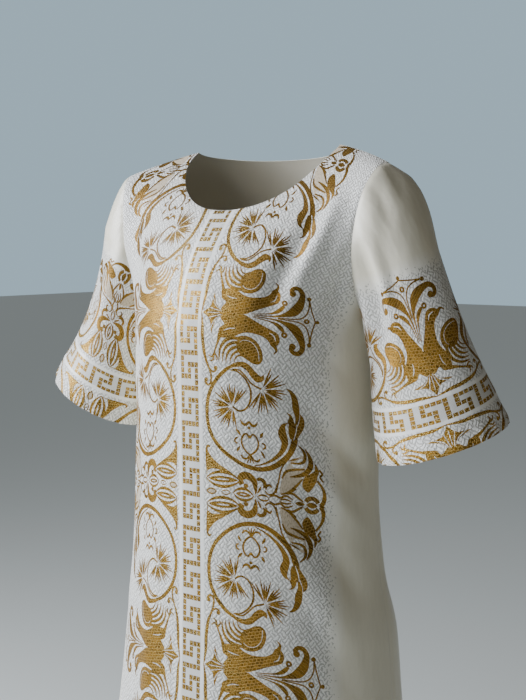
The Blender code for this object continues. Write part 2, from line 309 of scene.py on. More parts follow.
# Folds fade out over this share of the body's half width, and over this distance from a sleeve's seams
CALM_SHARE = 0.12
CALM_DISTANCE = 0.02

# Smooth strips run beside the key band, from the first of these distances to the last. The band's own
# ground is a check of 0.9 mm squares, about two threads each.
STRIP_START = (0.0115, 0.0125)
STRIP_END = (0.0155, 0.0175)
KEY_CHECK = 0.9091

# The gold's floats: the angle of their rows, their length and height, and the share of the height
# between them. Real rows are about 1 mm high, too fine to show, so they are drawn about 3 mm high.
Cells = namedtuple("Cells", "angle long high gap")
NET = Cells(14, 0.0042, 0.0033, 0.12)
LEAF = Cells(-52, 0.030, 0.0028, 0.14)
TWILL = Cells(-38, 0.0300, 0.0029, 0.075)
# Painted shade darkens the gold on the yoke towards the top: it starts and is full at these heights, and is
# this strong
YOKE_SHADE_HEIGHTS = (-0.190, -0.110)
YOKE_SHADE_STRENGTH = 0.60
# Painted glints, the brightest spots of the gold, lie by the key band, between these distances
PAINTED_GLINT_REACH = (0.010, 0.075)
# The wrong side's cream and its bronze floats, and the spare thread at a turned edge
WRONG_SIDE_CREAM = "#D9D3C0"
FLOAT_BRONZE = "#8C6E45"
EDGE_BRONZE = "#6B5030"


def linear(hex_colour):
    """A linear RGB colour from an sRGB hex value."""
    parts = [int(hex_colour[i:i + 2], 16) / 255 for i in (1, 3, 5)]
    return [p / 12.92 if p <= 0.04045 else ((p + 0.055) / 1.055) ** 2.4 for p in parts]


class KaftanSettings(bpy.types.PropertyGroup):
    """Sizes and colours of the dressed kaftan."""

    cloth_thickness: bpy.props.FloatProperty(
        name="Cloth thickness", description="Thickness of the brocade", default=0.0011, unit="LENGTH"
    )
    face_step: bpy.props.FloatProperty(
        name="Face step", description="Spacing of the plain cloth's points", default=0.0065, unit="LENGTH"
    )
    wrong_side_step: bpy.props.FloatProperty(
        name="Wrong side step", description="Spacing of the points inside", default=0.0075, unit="LENGTH"
    )
    motif_step: bpy.props.FloatProperty(
        name="Motif step", description="Spacing of the points along a motif", default=0.0020, unit="LENGTH"
    )
    dash_cell: bpy.props.FloatProperty(
        name="Ground cell", description="Cell of the quilted ground's dashes", default=0.0068, unit="LENGTH"
    )
    ivory: bpy.props.FloatVectorProperty(
        name="Ivory", description="Plain satin", subtype="COLOR", size=3,
        default=linear("#E9E3CE"),
    )
    ground_white: bpy.props.FloatVectorProperty(
        name="Ground", description="Quilted ground", subtype="COLOR", size=3,
        default=linear("#F7F6F1"),
    )
    # Painted shade for the sunken lines between the dashes; the key band's fine check takes the same colour
    ground_valley: bpy.props.FloatVectorProperty(
        name="Ground lines", description="Between the dashes", subtype="COLOR", size=3,
        default=linear("#9A968A"),
    )
    gold: bpy.props.FloatVectorProperty(
        name="Gold", description="Gold thread in the light", subtype="COLOR", size=3,
        default=linear("#A37829"),
    )
    gold_deep: bpy.props.FloatVectorProperty(
        name="Deep gold", description="Gold thread turned away", subtype="COLOR", size=3,
        default=linear("#45300D"),
    )
    # Painted highlight: the colour of the glints painted into the gold by the key band
    glint: bpy.props.FloatVectorProperty(
        name="Glint", description="Single bright threads", subtype="COLOR", size=3,
        default=linear("#F3DC8C"),
    )
    gold_pale: bpy.props.FloatVectorProperty(
        name="Pale gold", description="Between the gold floats", subtype="COLOR", size=3,
        default=linear("#B08B4A"),
    )
    tan: bpy.props.FloatVectorProperty(
        name="Tan", description="Pale weft fill", subtype="COLOR", size=3,
        default=linear("#C9B99F"),
    )


def smooth(stations, values, at):
    """Monotone cubic curve through (stations, values), read at the given places."""
    x = np.asarray(stations, float)
    y = np.asarray(values, float)
    step = np.diff(x)
    slope = np.diff(y) / step
    tangent = np.zeros_like(y)
    tangent[0] = slope[0]
    tangent[-1] = slope[-1]
    for i in range(1, len(x) - 1):
        if slope[i - 1] * slope[i] > 0:
            before = 2 * step[i] + step[i - 1]
            after = step[i] + 2 * step[i - 1]
            tangent[i] = (before + after) / (before / slope[i - 1] + after / slope[i])
    at = np.clip(np.asarray(at, float), x[0], x[-1])
    i = np.clip(np.searchsorted(x, at, side="right") - 1, 0, len(x) - 2)
    h = step[i]
    t = (at - x[i]) / h
    return (
        (1 + 2 * t) * (1 - t) ** 2 * y[i]
        + t * (1 - t) ** 2 * h * tangent[i]
        + t * t * (3 - 2 * t) * y[i + 1]
        + t * t * (t - 1) * h * tangent[i + 1]
    )


def unit(v):
    return v / np.linalg.norm(v, axis=-1, keepdims=True)


def fold_height(folds, across, down, open_end):
    """How far the folds move the cloth out. One that ends past open_end keeps its depth there."""
    height = np.zeros_like(across)
    place = np.stack([across, down], -1)
    for f in folds:
        start = np.array([f.across, f.down])
        run = np.array([f.to_across, f.to_down]) - start
        share = np.clip((place - start) @ run / (run @ run), 0, 1)
        away = np.linalg.norm(place - start - share[..., None] * run, axis=-1)
        fade = np.sin(np.pi * (np.minimum(0.5, share) if f.to_down > open_end else share))
        height += f.depth * fade * np.exp(-((away / f.width) ** 2))
    return height


def hem_waves(across, up):
    """Small waves that the stitching draws into a turned-up hem. They fade out above it."""
    short = np.sin(2 * np.pi * across / HEM_WAVE + HEM_DRIFT * np.sin(HEM_DRIFT_RATE * across))
    long = HEM_LONG_SHARE * np.sin(2 * np.pi * across / HEM_LONG_WAVE + 1)
    return HEM_WAVE_DEPTH * (short + long) * np.exp(-((up / HEM_TURN) ** 2))


class BodyPanel:
    """The front or the back. Its flat places are (across, down) in metres on the cloth."""

    def __init__(self, yoke, skirt_column, neck_depth, folds, outward_y):
        rows = list(yoke)
        for s in SKIRT:
            down = UNDERARM_DOWN + UNDERARM_Z - s.z
            rows.append(Section(down, getattr(s, skirt_column), s.z, s.half_width, s.side_y, s.z, 90))
        self.sections = {name: [getattr(r, name) for r in rows] for name in Section._fields}
        self.neck_depth = neck_depth
        self.folds = folds
        self.outward_y = outward_y
        self.girth_down = np.linspace(0, HEM_DOWN, GIRTH_ROWS)
        across = np.broadcast_to(np.linspace(0, 1, GIRTH_POINTS), (GIRTH_ROWS, GIRTH_POINTS))
        points = self.plain_point(across, self.girth_down[:, None])
        self.girth = np.linalg.norm(np.diff(points, axis=1), axis=-1).sum(1)

    def plain_point(self, across, down):
        """Points before the folds. across is -1 and 1 at the edges and 0 in the middle."""
        read = {}
        for name in ("middle_y", "middle_z", "edge_x", "edge_y", "edge_z", "turn"):
            read[name] = smooth(self.sections["down"], self.sections[name], down)
        turn = np.radians(read["turn"])
        angle = across * turn
        round_off = (1 - np.cos(angle)) / (1 - np.cos(turn))
        x = read["edge_x"] * np.sin(angle) / np.sin(turn)
        y = read["middle_y"] + (read["edge_y"] - read["middle_y"]) * round_off
        z = read["middle_z"] + (read["edge_z"] - read["middle_z"]) * round_off
        return np.stack([x, y, z], -1)

    def half_width(self, down):
        return np.interp(down, self.girth_down, self.girth)

    def surface(self, flat):
        """Points of the outer face and the outward normals, from flat places."""
        step = 1e-4
        down = flat[:, 1]
        half = self.half_width(down)
        across = flat[:, 0] / half
        plain = self.plain_point(across, down)
        low = np.clip(down - step, 0, HEM_DOWN)
        high = np.clip(down + step, 0, HEM_DOWN)
        along = self.plain_point(across, high) - self.plain_point(across, low)
        over = self.plain_point(across + step, down) - self.plain_point(across - step, down)
        normal = unit(np.cross(along, over)) * -self.outward_y
        calm = np.clip((1 - np.abs(across)) / CALM_SHARE, 0, 1)
        height = fold_height(self.folds, flat[:, 0], down, HEM_DOWN) * calm
        height = height + hem_waves(flat[:, 0], HEM_DOWN - down)
        return plain + normal * (FACE_OUT + height)[:, None], normal

    def outline(self):
        """The cut edge as a closed ring of flat places, with the neckline first."""
        neck_x = self.sections["edge_x"][0]
        turn = np.radians(self.sections["turn"][0])
        neck = np.arcsin(NECK_HALF / neck_x * np.sin(turn)) / turn
        power = 2 / NECK_SQUARENESS
        angle = np.linspace(0, np.pi / 2, NECK_POINTS)
        down = self.neck_depth * np.abs(np.cos(angle)) ** power
        neckline = np.stack([neck * np.sin(angle) ** power * self.half_width(down), down], -1)
        shoulder = np.linspace(neck, 1, SHOULDER_POINTS) * self.half_width(0.0)
        shoulder = np.stack([shoulder, np.zeros(SHOULDER_POINTS)], -1)
        armhole = np.linspace(0, UNDERARM_DOWN, ARMHOLE_POINTS)
        side = np.concatenate([armhole, np.linspace(UNDERARM_DOWN, HEM_DOWN, SIDE_POINTS)[1:]])
        side = np.stack([self.half_width(side), side], -1)
        hem = np.stack([np.linspace(side[-1, 0], 0, HEM_POINTS), np.full(HEM_POINTS, HEM_DOWN)], -1)
        half = np.concatenate([neckline, shoulder[1:], side[1:], hem[1:]])
        other = half[-2:0:-1] * (-1, 1)
        return np.concatenate([half, other])

    def edge(self, down):
        return self.plain_point(np.ones_like(down), down)


class Sleeve:
    """A sleeve. Its flat places are (round from the top line, up from the cuff edge) in metres."""

    def __init__(self, front, back, cuff, folds, more):
        down = np.linspace(0, UNDERARM_DOWN, SLEEVE_COLUMNS + 1)
        ring = np.concatenate([front.edge(down), back.edge(down[::-1])[1:]])
        self.folds = folds
        self.more = more
        self.flip = np.array([cuff.side, 1, 1])
        height = (ring[:, 2:] - UNDERARM[2]) / (SHOULDER_TIP[2] - UNDERARM[2])
        forward = ring[:, 1:2] - ring[:, 1:2].mean()
        bulge = np.array([[0, 1, 0]]) * forward / np.abs(forward).max() * CAP_BULGE
        leave = unit(np.array(CAP_DIRECTION) * height + np.array(UNDERARM_DIRECTION) * (1 - height) + bulge)
        axis = unit(np.array([cuff.axis_x, cuff.axis_y, cuff.axis_z]))
        front_way = unit(np.cross(axis, [1, 0, 0]))
        out_way = np.cross(front_way, axis)
        walked = np.concatenate([[0], np.cumsum(np.linalg.norm(np.diff(ring, axis=0), axis=1))])
        under = SLEEVE_COLUMNS
        front_share = walked[: under + 1] / walked[under]
        back_share = 1 + (walked[under + 1:] - walked[under]) / (walked[-1] - walked[under])
        self.share = np.concatenate([front_share, back_share])
        angle = np.pi * self.share[:, None]
        spoke_out = np.cos(angle) * out_way
        spoke_front = np.sin(angle) * front_way
        middle = np.array([cuff.out_x, cuff.y, cuff.z])
        edge = middle + cuff.half_wide * spoke_out + cuff.half_deep * spoke_front
        pull = UNDERARM_PULL + (cuff.cap_pull - UNDERARM_PULL) * np.clip(height, 0, 1)
        fall = unit(unit(np.array(SLEEVE_FALL)) + FLARE * (spoke_out + spoke_front))
        first = ring + leave * pull
        second = edge - fall * CUFF_PULL
        t = np.linspace(1, 0, SLEEVE_ROWS + 1)[:, None, None]
        grid = (1 - t) ** 3 * ring + 3 * t * (1 - t) ** 2 * first
        grid = grid + 3 * t * t * (1 - t) * second + t**3 * edge
        self.lengths, self.points = self.spread_evenly(grid)
        up = np.gradient(self.points, axis=0)
        around = np.roll(self.points[:, :-1], -1, 1) - np.roll(self.points[:, :-1], 1, 1)
        around = np.concatenate([around, around[:, :1]], 1)
        self.normals = unit(np.cross(up, around))
        cuff_edge = self.points[0]
        self.half_round = np.linalg.norm(np.diff(cuff_edge, axis=0), axis=1).sum() / 2

    def spread_evenly(self, grid):
        """Each column's length, and its points spaced evenly from the cuff edge up."""
        steps = np.linalg.norm(np.diff(grid, axis=0), axis=-1)
        walked = np.concatenate([np.zeros((1, grid.shape[1])), np.cumsum(steps, axis=0)])
        even = np.empty_like(grid)
        for j in range(grid.shape[1]):
            wanted = np.linspace(0, walked[-1, j], SLEEVE_ROWS + 1)
            for k in range(3):
                even[:, j, k] = np.interp(wanted, walked[:, j], grid[:, j, k])
        return walked[-1], even

    def columns_at(self, across):
        """The column, with its fraction, at a distance round the sleeve."""
        share = np.clip(across / self.half_round, -1, 1)
        share = np.where(share < 0, -share, 2 - share)
        return np.interp(share, self.share, np.arange(len(self.share)))

    def top(self, across):
        column = self.columns_at(across)
        return np.interp(column, np.arange(len(self.lengths)), self.lengths) + self.more

    def surface(self, flat):
        """Points of the outer face and the outward normals, from flat places."""
        column = self.columns_at(flat[:, 0])
        up = flat[:, 1] - self.more
        row = up / (self.top(flat[:, 0]) - self.more) * SLEEVE_ROWS
        j = np.clip(column.astype(int), 0, len(self.share) - 2)
        i = np.clip(row.astype(int), 0, SLEEVE_ROWS - 1)
        s = (column - j)[:, None]
        t = (row - i)[:, None]
        read = []
        for grid in (self.points, self.normals):
            near = grid[i, j] * (1 - s) + grid[i, j + 1] * s
            far = grid[i + 1, j] * (1 - s) + grid[i + 1, j + 1] * s
            read.append(near * (1 - t) + far * t)
        normal = unit(read[1])
        room = np.minimum(self.half_round - np.abs(flat[:, 0]), self.top(flat[:, 0]) - flat[:, 1])
        calm = np.clip(room / CALM_DISTANCE, 0, 1)
        height = fold_height(self.folds, flat[:, 0], flat[:, 1], np.inf) * calm
        height = height + hem_waves(flat[:, 0], flat[:, 1])
        return (read[0] + normal * (FACE_OUT + height)[:, None]) * self.flip, normal * self.flip

    def outline(self):
        """The cut edge as a closed ring of flat places, with the cuff first."""
        across = np.linspace(-self.half_round, self.half_round, CUFF_POINTS)
        cuff = np.stack([across, np.zeros(CUFF_POINTS)], -1)
        top = self.top(across)
        up = np.linspace(0, top[-1], UNDERARM_POINTS)
        right = np.stack([np.full(UNDERARM_POINTS, across[-1]), up], -1)
        cap = np.stack([across[::-1], top[::-1]], -1)
        left = right[::-1] * (-1, 1)
        left[:, 1] = np.linspace(top[0], 0, UNDERARM_POINTS)
        return np.concatenate([cuff, right[1:], cap[1:], left[1:-1]])


# The border's motifs, drawn in one quarter of its repeat, in millimetres. across runs from the key band
# out to the plain cloth, and counts from MOTIF_START on the band's near side. along runs from the middle
# of the bird pair to the middle of the lens cluster. A stroke is a line through (across, along, width)
# points. A fill is a closed outline through (across, along) points, curved or with straight sides.
Stroke = namedtuple("Stroke", "tone path")
Fill = namedtuple("Fill", "tone curved path")

BIRD = (
    Fill("net", True, (
        (43.6, 0), (43.2, 6), (47.6, 12.6), (42.4, 16.6), (41.4, 23), (44, 27.6), (51, 28), (59, 26.6),
        (65, 23), (73, 20.6), (82, 21.2), (90, 23.4), (95.6, 27.6), (99, 33), (105, 32.4),
        (108.2, 26.6), (107, 19.6), (102, 15.8), (93, 11.8), (84.6, 7.6), (76, 3), (68, 0),
    )),
    Stroke("gold", ((99.6, 30, 6), (103, 34.6, 4), (103.8, 38.8, 2.4), (100.6, 42.2, 1))),
    Stroke("ground", ((97.4, 18.4, 0.6), (102, 21.4, 1.2), (103.8, 27.4, 0.7))),
    Stroke("ground", ((47.6, 20, 0.5), (53, 17.6, 1.1), (60, 17, 0.5))),
    Fill("gold", False, ((21, 0), (27.6, 4.6), (31, 9), (33, 24.4), (36.6, 10), (40.6, 5.6), (45, 0))),
    Stroke("ground", ((27, 0, 0.9), (42, 0, 0.7))),
    Stroke("ground", ((44, 1.8, 0.6), (35, 4, 1), (27.4, 6.4, 0.8))),
    Stroke("ground", ((43, 3.6, 0.6), (36.6, 8, 1), (32.2, 17, 0.8))),
    Stroke("gold", ((43.4, 23, 5.4), (41, 31, 3.2), (38, 39, 2.4), (35.6, 46, 2.2))),
    Stroke("gold", ((36, 45, 2.2), (32.6, 49.6, 2.2), (29, 47, 1.2))),
    Stroke("gold", ((35.6, 45, 2.2), (34, 52.6, 2.2), (30.6, 54.4, 1.2))),
    Stroke("gold", ((35.6, 44.6, 2.2), (39, 50, 2), (38, 53.6, 1))),
)
WING_LINES = (
    Stroke("ground", (
        (85, 51, 0.5), (84.4, 41, 0.6), (81, 34, 0.6), (75.6, 29.8, 0.6), (68.6, 29.6, 0.6),
        (65, 32.4, 0.5),
    )),
)
WING = (
    Fill("net", True, (
        (87, 50), (87.4, 41), (84, 32), (77, 26.6), (68, 26), (62.6, 30), (61, 38), (63.6, 44.6),
        (70, 48), (78, 52.6), (83.6, 53.4),
    )),
    Stroke("gold", (
        (61, 29, 1.4), (66, 25.6, 1.6), (74.6, 25.4, 1.6), (82.6, 30, 1.6), (87.4, 39, 1.6),
        (88, 49, 1.8), (83.4, 54, 2), (77, 52.8, 2), (70, 48.4, 2), (64.8, 46.6, 2), (60, 49.4, 1.8),
        (57.4, 56, 0.6),
    )),
    Stroke("gold", ((68, 42.6, 3.4), (63, 42.2, 3.2), (58, 45, 2.8), (54.6, 50, 2), (53, 57, 0.6))),
    Stroke("gold", ((67, 37.6, 3.6), (60.6, 37.8, 3.4), (54, 41.6, 3.2), (50, 48, 2.3), (48.6, 57, 0.6))),
    Stroke("gold", ((66, 33, 3.8), (58.6, 33, 3.7), (51, 37, 3.4), (46.2, 44.6, 2.5), (44.8, 55.6, 0.6))),
    Stroke("gold", (
        (66, 28.2, 3.8), (57, 28, 4), (48.6, 31.6, 3.8), (43.2, 39.4, 2.8), (41.4, 47.6, 2),
        (41, 54.6, 0.6),
    )),
)
STEM = (
    Stroke("gold", (
        (20, 0, 1.2), (21.2, 8, 2.4), (22.4, 18, 3.6), (22.6, 31, 4), (24, 45, 3.7), (26.4, 56, 3),
    )),
    Stroke("gold", (
        (26, 54, 2.6), (29.4, 63, 2.4), (31.6, 71, 2.4), (31, 78, 2.6), (28, 80.8, 2.8), (24.8, 78, 3),
        (25, 74, 2),
    )),
    Stroke("gold", ((26.4, 56, 2), (29.4, 62, 2), (33.4, 65.8, 2.2), (37, 65, 2.2), (38, 61.6, 1.8))),
)
PALMETTE = (
    Stroke("gold", (
        (78, 1.6, 0.8), (90, 3.4, 1.3), (99, 5.2, 2.2), (105.4, 8, 4.4), (110, 12, 4.8), (113, 16, 3),
    )),
    Stroke("gold", (
        (80, 0.6, 0.8), (94, 1.4, 1.6), (106, 2.6, 2.6), (115, 5.6, 5.6), (123.4, 10.2, 10.4),
        (129, 17.4, 10.6), (132, 26, 7.8), (132.4, 33.4, 6), (128.6, 38.6, 5.4), (123, 39, 5),
        (119.8, 35.4, 5), (121, 32.4, 4.4),
    )),
    Stroke("gold", (
        (106, 0.5, 1.2), (122, 1.2, 1.6), (131, 2.8, 1.8), (137.2, 7.6, 1.8), (140.6, 16, 1.8),
        (141, 26, 1.8),
    )),
    Stroke("gold", ((141.2, 27, 1.6), (143.8, 16, 1.7), (146.6, 7, 1.7), (149, 0, 1.8))),
)
ROUNDEL_LEAVES = (
    Stroke("gold", (
        (118.6, 119, 5), (121.6, 127, 6.4), (120.8, 134, 7), (115.6, 146, 6.8), (107, 157, 6.2),
        (96, 165, 5.6), (82.6, 169, 5.2), (67, 167, 5), (53.6, 160.6, 4.6), (41.6, 151, 4.4),
        (32.8, 139.6, 4.2), (27.6, 126, 4.2), (26, 111, 4.2), (27.6, 95.6, 4.2), (32, 83.4, 4.4),
        (39.2, 72.4, 4.6), (48.4, 63.4, 4.2), (57, 58.6, 3.4),
    )),
    Fill("net", True, (
        (50.4, 61.6), (58.2, 55.8), (67, 53.6), (73.8, 55.8), (80.4, 62.4), (86, 67.6), (89.6, 65.6),
        (90, 70), (87, 73.2), (81.6, 74), (76, 69), (71.6, 63), (65, 59.4), (57, 60.6),
    )),
    Stroke("gold", (
        (50, 62, 1.8), (58.2, 56.2, 1.8), (67, 54.2, 1.8), (73.6, 56.6, 1.6), (80, 63, 1.4),
        (86.4, 68, 1.6), (89.6, 65, 0.8),
    )),
    Stroke("gold", ((56, 62.6, 1.8), (63.6, 63, 1.9), (70.4, 69, 1.9), (77, 76.4, 2), (87, 81, 2.3))),
    Stroke("gold", (
        (53.8, 63.6, 1.8), (61.6, 64.8, 2), (69.4, 71.4, 2.2), (75, 82, 2.3), (75.2, 93.4, 2.3),
        (70.6, 103.4, 2.3), (62.8, 107.4, 2.3), (55.4, 103.4, 2.3),
    )),
    Stroke("gold", (
        (113.6, 77.4, 0.8), (118.2, 80, 3.6), (122.4, 87, 6.6), (124, 96.6, 8), (125.4, 106, 5),
        (124, 113, 3.2), (122, 122, 4),
    )),
    Stroke("net", (
        (128.8, 102.6, 0.8), (130.6, 108, 5), (129.4, 115, 6.8), (125.6, 122.6, 5.6), (121.6, 130.6, 3),
    )),
    Stroke("gold", (
        (114, 102.6, 0.8), (117.8, 106, 3.2), (118.2, 113.4, 8), (119, 122, 9), (119.8, 130, 6),
    )),
    Stroke("hatch", (
        (114, 113.4, 0.8), (109.8, 117, 4.6), (108.4, 125, 9), (111, 134.6, 7.4), (107.6, 145, 5.2),
        (99.6, 154.4, 3.6), (89, 161.6, 2.2), (78, 166, 1.2),
    )),
    Stroke("ground", (
        (115, 114, 0.8), (114.6, 124, 1.1), (116.4, 134, 1.1), (112.6, 145, 1.1), (103.6, 155, 1.1),
        (91, 163.4, 0.9),
    )),
    Stroke("ground", ((124.6, 114, 0.6), (123.4, 122, 1), (120.4, 131, 0.7))),
)
BLOSSOM = (
    Stroke("gold", ((63.8, 116.6, 0.9), (66.4, 121, 2.9), (70, 121.4, 3.3), (73.2, 117.4, 2))),
    Stroke("gold", ((82.4, 117, 0.9), (79.8, 121.2, 2.9), (76.2, 121.4, 3.3), (73.2, 117.4, 2))),
    Stroke("gold", (
        (73.4, 136.4, 2), (70, 131.4, 2.2), (66.2, 134.6, 2.2), (64.8, 141.6, 2.2), (67.6, 149, 2.2),
        (73.6, 154, 2.2), (79.6, 149.6, 2.2), (82.8, 142.4, 2.2), (81.4, 135, 2.2), (77.2, 131.4, 2.2),
        (73.4, 136.4, 2),
    )),
    Stroke("gold", ((63.8, 133.8, 1.5), (61.4, 130.6, 3.5), (59, 127.8, 1.3))),
    Stroke("gold", ((85, 134, 1.5), (86.4, 131, 3.5), (87.8, 127.8, 1.3))),
    Stroke("gold", ((60.8, 137, 2), (58, 138.4, 2.2), (57.6, 142, 2.2), (60.4, 143.8, 2))),
    Stroke("gold", ((86.4, 139.6, 2), (89.4, 140.6, 2.2), (90.2, 144, 2.2), (87.4, 146, 2))),
    Stroke("gold", ((62.8, 146.6, 1.1), (61, 149.6, 2.9), (59.6, 153, 1.1))),
    Stroke("gold", ((85.4, 148.6, 1.1), (87.4, 151.8, 2.9), (89.2, 156, 1.1))),
    Stroke("gold", ((73.8, 153.4, 1.8), (70.6, 158.6, 2.2), (66.4, 159.4, 2.6), (63.8, 155.8, 1.8))),
    Stroke("gold", ((73.8, 153.4, 1.8), (77.2, 159, 2.2), (81.4, 160.6, 2.6), (84.4, 157.4, 1.8))),
    Stroke("gold", ((74, 155, 1.1), (74, 159.6, 1.9), (74, 164, 0.9))),
    Stroke("gold", ((73, 157, 0.9), (71.6, 161, 1.5), (70, 164, 0.8))),
    Stroke("gold", ((75, 157, 0.9), (76.4, 161, 1.5), (78, 164, 0.8))),
)
SPANDREL = (
    Fill("net", True, (
        (25.4, 152), (27.4, 156.6), (32, 162.6), (38, 168), (46, 173), (54, 178.4), (60, 184.6),
        (63.6, 190), (58, 187), (52, 181), (46, 177.2), (38, 175), (30, 174.6), (25, 177), (24.6, 165),
    )),
    Stroke("gold", (
        (24.8, 184, 0.8), (24.4, 168, 1.8), (24.6, 153, 2.4), (26.6, 149, 3), (29, 150.6, 1.8),
    )),
)
LENSES = (
    Stroke("hatch", (
        (78.8, 197.4, 1.2), (78.8, 190.6, 4.2), (77, 183, 7), (71.8, 178.6, 8.5), (65.6, 179, 8.5),
        (62.2, 183.6, 7), (64.4, 189, 5.8),
    )),
    Stroke("gold", ((80.6, 196, 1), (83, 191.6, 2.5), (84.8, 187.6, 1.2))),
    Stroke("gold", (
        (80.4, 181.4, 3), (83.6, 179.6, 4.2), (87.4, 181.4, 4.2), (88.8, 185.6, 3.8), (86.8, 189, 1.5),
    )),
    Stroke("gold", ((89.6, 190.6, 1.2), (90.4, 186.8, 2.5), (93.8, 184.6, 2.8), (96, 187.4, 1.5))),
    Stroke("gold", (
        (88.6, 191.4, 1.2), (92.4, 195.4, 2.2), (97.6, 193.6, 2.2), (100.4, 188, 1.9), (102, 181, 1.2),
    )),
    Stroke("gold", (
        (93, 198.2, 1.2), (99, 195, 2.5), (105, 196.8, 2.5), (111, 193.6, 2.5), (119, 196.8, 1.2),
    )),
    Stroke("gold", ((104, 199.4, 1.2), (110, 197.6, 2.2), (117, 199, 1.2))),
    Stroke("gold", ((112, 191.6, 1.2), (118, 190, 2.8), (124, 193.4, 2.8), (130, 197.4, 1.8))),
    Stroke("gold", ((114, 188.4, 1), (118, 187, 3), (122.6, 184.4, 1))),
)
TULIP = (
    Fill("tan", True, (
        (105, 192.6), (106, 179.6), (109, 169), (114.6, 158), (122, 150.6), (130, 146.6), (132.6, 157),
        (128.6, 170.6), (122.6, 181), (114, 189),
    )),
    Fill("ground", True, ((118, 158), (123, 152.6), (129.6, 150), (130.4, 158), (121, 160.6))),
    Stroke("gold", ((107, 175, 1.8), (111.4, 167, 2.9), (120, 163.4, 3), (131.4, 161, 1.8))),
    Stroke("gold", (
        (125, 135.6, 1), (131, 142, 3.2), (131.8, 150, 3.5), (127, 155, 2.9), (116.6, 156.2, 1.6),
    )),
    Stroke("gold", ((114.6, 154.6, 1), (120, 152, 2.3), (125, 149.6, 1))),
    Stroke("gold", (
        (132.6, 139, 1), (137, 147, 4.2), (137.8, 156, 6), (132.6, 165, 5.5), (124.4, 169.6, 3.6),
        (115.6, 172, 1.2),
    )),
    Stroke("gold", ((105.6, 192.8, 1.6), (114, 189.2, 2.7), (122.8, 180.8, 2.9), (129.4, 172, 1.6))),
    Stroke("gold", (
        (100.6, 192.6, 1.3), (103.6, 178, 1.8), (106, 166.4, 1.8), (110, 158.4, 1.8), (116, 151, 1.3),
    )),
    Fill("net", True, (
        (142.6, 153), (146.8, 161), (145, 167), (143.6, 174), (139.4, 182), (134.8, 186.4), (129, 180),
        (130.8, 170.4), (137, 165), (142, 160.4),
    )),
    Stroke("gold", (
        (144.6, 171.6, 2.6), (150, 178, 2.9), (153.2, 185.4, 3.9), (153.2, 194, 4.9), (150, 199.4, 4.7),
    )),
    Stroke("gold", ((147, 159.6, 2.1), (150.6, 163.6, 2.6), (147.8, 167.4, 2.3), (151.6, 172.4, 1.8))),
)
QUARTER = BIRD + WING + WING_LINES + STEM + PALMETTE + ROUNDEL_LEAVES + BLOSSOM + SPANDREL + LENSES + TULIP

# Round and lens-shaped motifs: (across, along) of the middle, and sizes, in millimetres
Disc = namedtuple("Disc", "tone across along radius")
Ring = namedtuple("Ring", "tone across along radius width start end")
Lens = namedtuple("Lens", "tone across along long wide")
Palm = namedtuple("Palm", "across along start end rays reach")
QUARTER_ROUNDS = (
    Disc("gold", 25.6, 75, 2.6),
    Disc("gold", 37, 61.8, 2.6),
    Disc("gold", 113.4, 19.4, 3.6),
    Disc("ground", 113.4, 19.4, 1.1),
    Disc("gold", 121.6, 32, 3.8),
    Disc("gold", 140.4, 29, 2.8),
    Palm(87.7, 81.4, -68, 124, 25, 28),
    Palm(55.4, 103.3, 80, 308, 31, 27),
    Disc("gold", 73.2, 124.6, 1.9),
    Disc("gold", 73.4, 134.4, 1.8),
    Lens("gold", 42.8, 185.6, 38.6, 20.4),
    Lens("ground", 42.8, 185.6, 36, 12.6),
    Lens("gold", 42.8, 185.6, 34, 7.4),
    Lens("ground", 42.8, 185.6, 15, 1.5),
    Disc("gold", 68.4, 189.8, 2.8),
)
AXIS_ROUNDS = {
    "bird": (
        Disc("gold", 151.4, 0, 2.6),
        Disc("gold", 138.4, 0, 3.6),
        Disc("ground", 138.4, 0, 1.1),
    ),
    "lens": (
        Lens("gold", 30, 0, 13, 8.2),
        Lens("tan", 30, 0, 9.4, 4),
        Lens("gold", 46.4, 0, 11.6, 6.4),
        Lens("ground", 46.4, 0, 9, 3.2),
        Disc("gold", 46.4, 0, 0.9),
        Lens("gold", 65.6, 0, 23, 16.4),
        Lens("ground", 65.6, 0, 20.6, 9.6),
        Lens("gold", 65.6, 0, 17, 5.6),
        Lens("ground", 65.6, 0, 8, 1.3),
        Lens("gold", 87, 0, 14, 8.6),
        Lens("ground", 87, 0, 11.4, 3.8),
        Lens("gold", 126.4, 0, 11, 4.8),
        Ring("hatch", 140, 0, 7.8, 5, 25, 155),
        Ring("hatch", 140, 0, 7.8, 5, 205, 335),
        Lens("gold", 140, 0, 13, 6.4),
        Lens("gold", 151.6, 0, 7, 3.4),
    ),
}


def curve_through(points, step, closed):
    """A smooth curve through points with any number of columns, in even steps."""
    p = np.asarray(points, float)
    if closed:
        p = np.concatenate([p[-1:], p, p[:2]])
    else:
        p = np.concatenate([2 * p[:1] - p[1:2], p, 2 * p[-1:] - p[-2:-1]])
    out = []
    for a, b, c, d in zip(p, p[1:], p[2:], p[3:]):
        count = max(2, int(np.ceil(np.linalg.norm((c - b)[:2]) / step)))
        t = (np.arange(count) / count)[:, None]
        bend = (2 * a - 5 * b + 4 * c - d) * t**2
        out.append(0.5 * (2 * b + (c - a) * t + bend + (3 * b - a - 3 * c + d) * t**3))
    if not closed:
        out.append(p[-2:-1])
    return np.concatenate(out)


def ribbon(line):
    """The outline of a line of (x, y, width) points, as one ring."""
    way = np.gradient(line[:, :2], axis=0)
    side = unit(way)[:, ::-1] * (-1, 1) * np.maximum(line[:, 2:], THINNEST) / 2
    return np.concatenate([line[:, :2] + side, (line[:, :2] - side)[::-1]])


def lens_ring(long, wide, count):
    """A pointed oval round the origin."""
    x = np.linspace(-1, 1, count)
    y = (1 - x**2) ** LENS_POWER * wide / 2
    return np.concatenate([np.stack([x * long / 2, y], -1), np.stack([x * long / 2, -y], -1)[-2:0:-1]])


def turned(points, degrees):
    c = np.cos(np.radians(degrees))
    s = np.sin(np.radians(degrees))
    return points @ np.array([[c, s], [-s, c]])


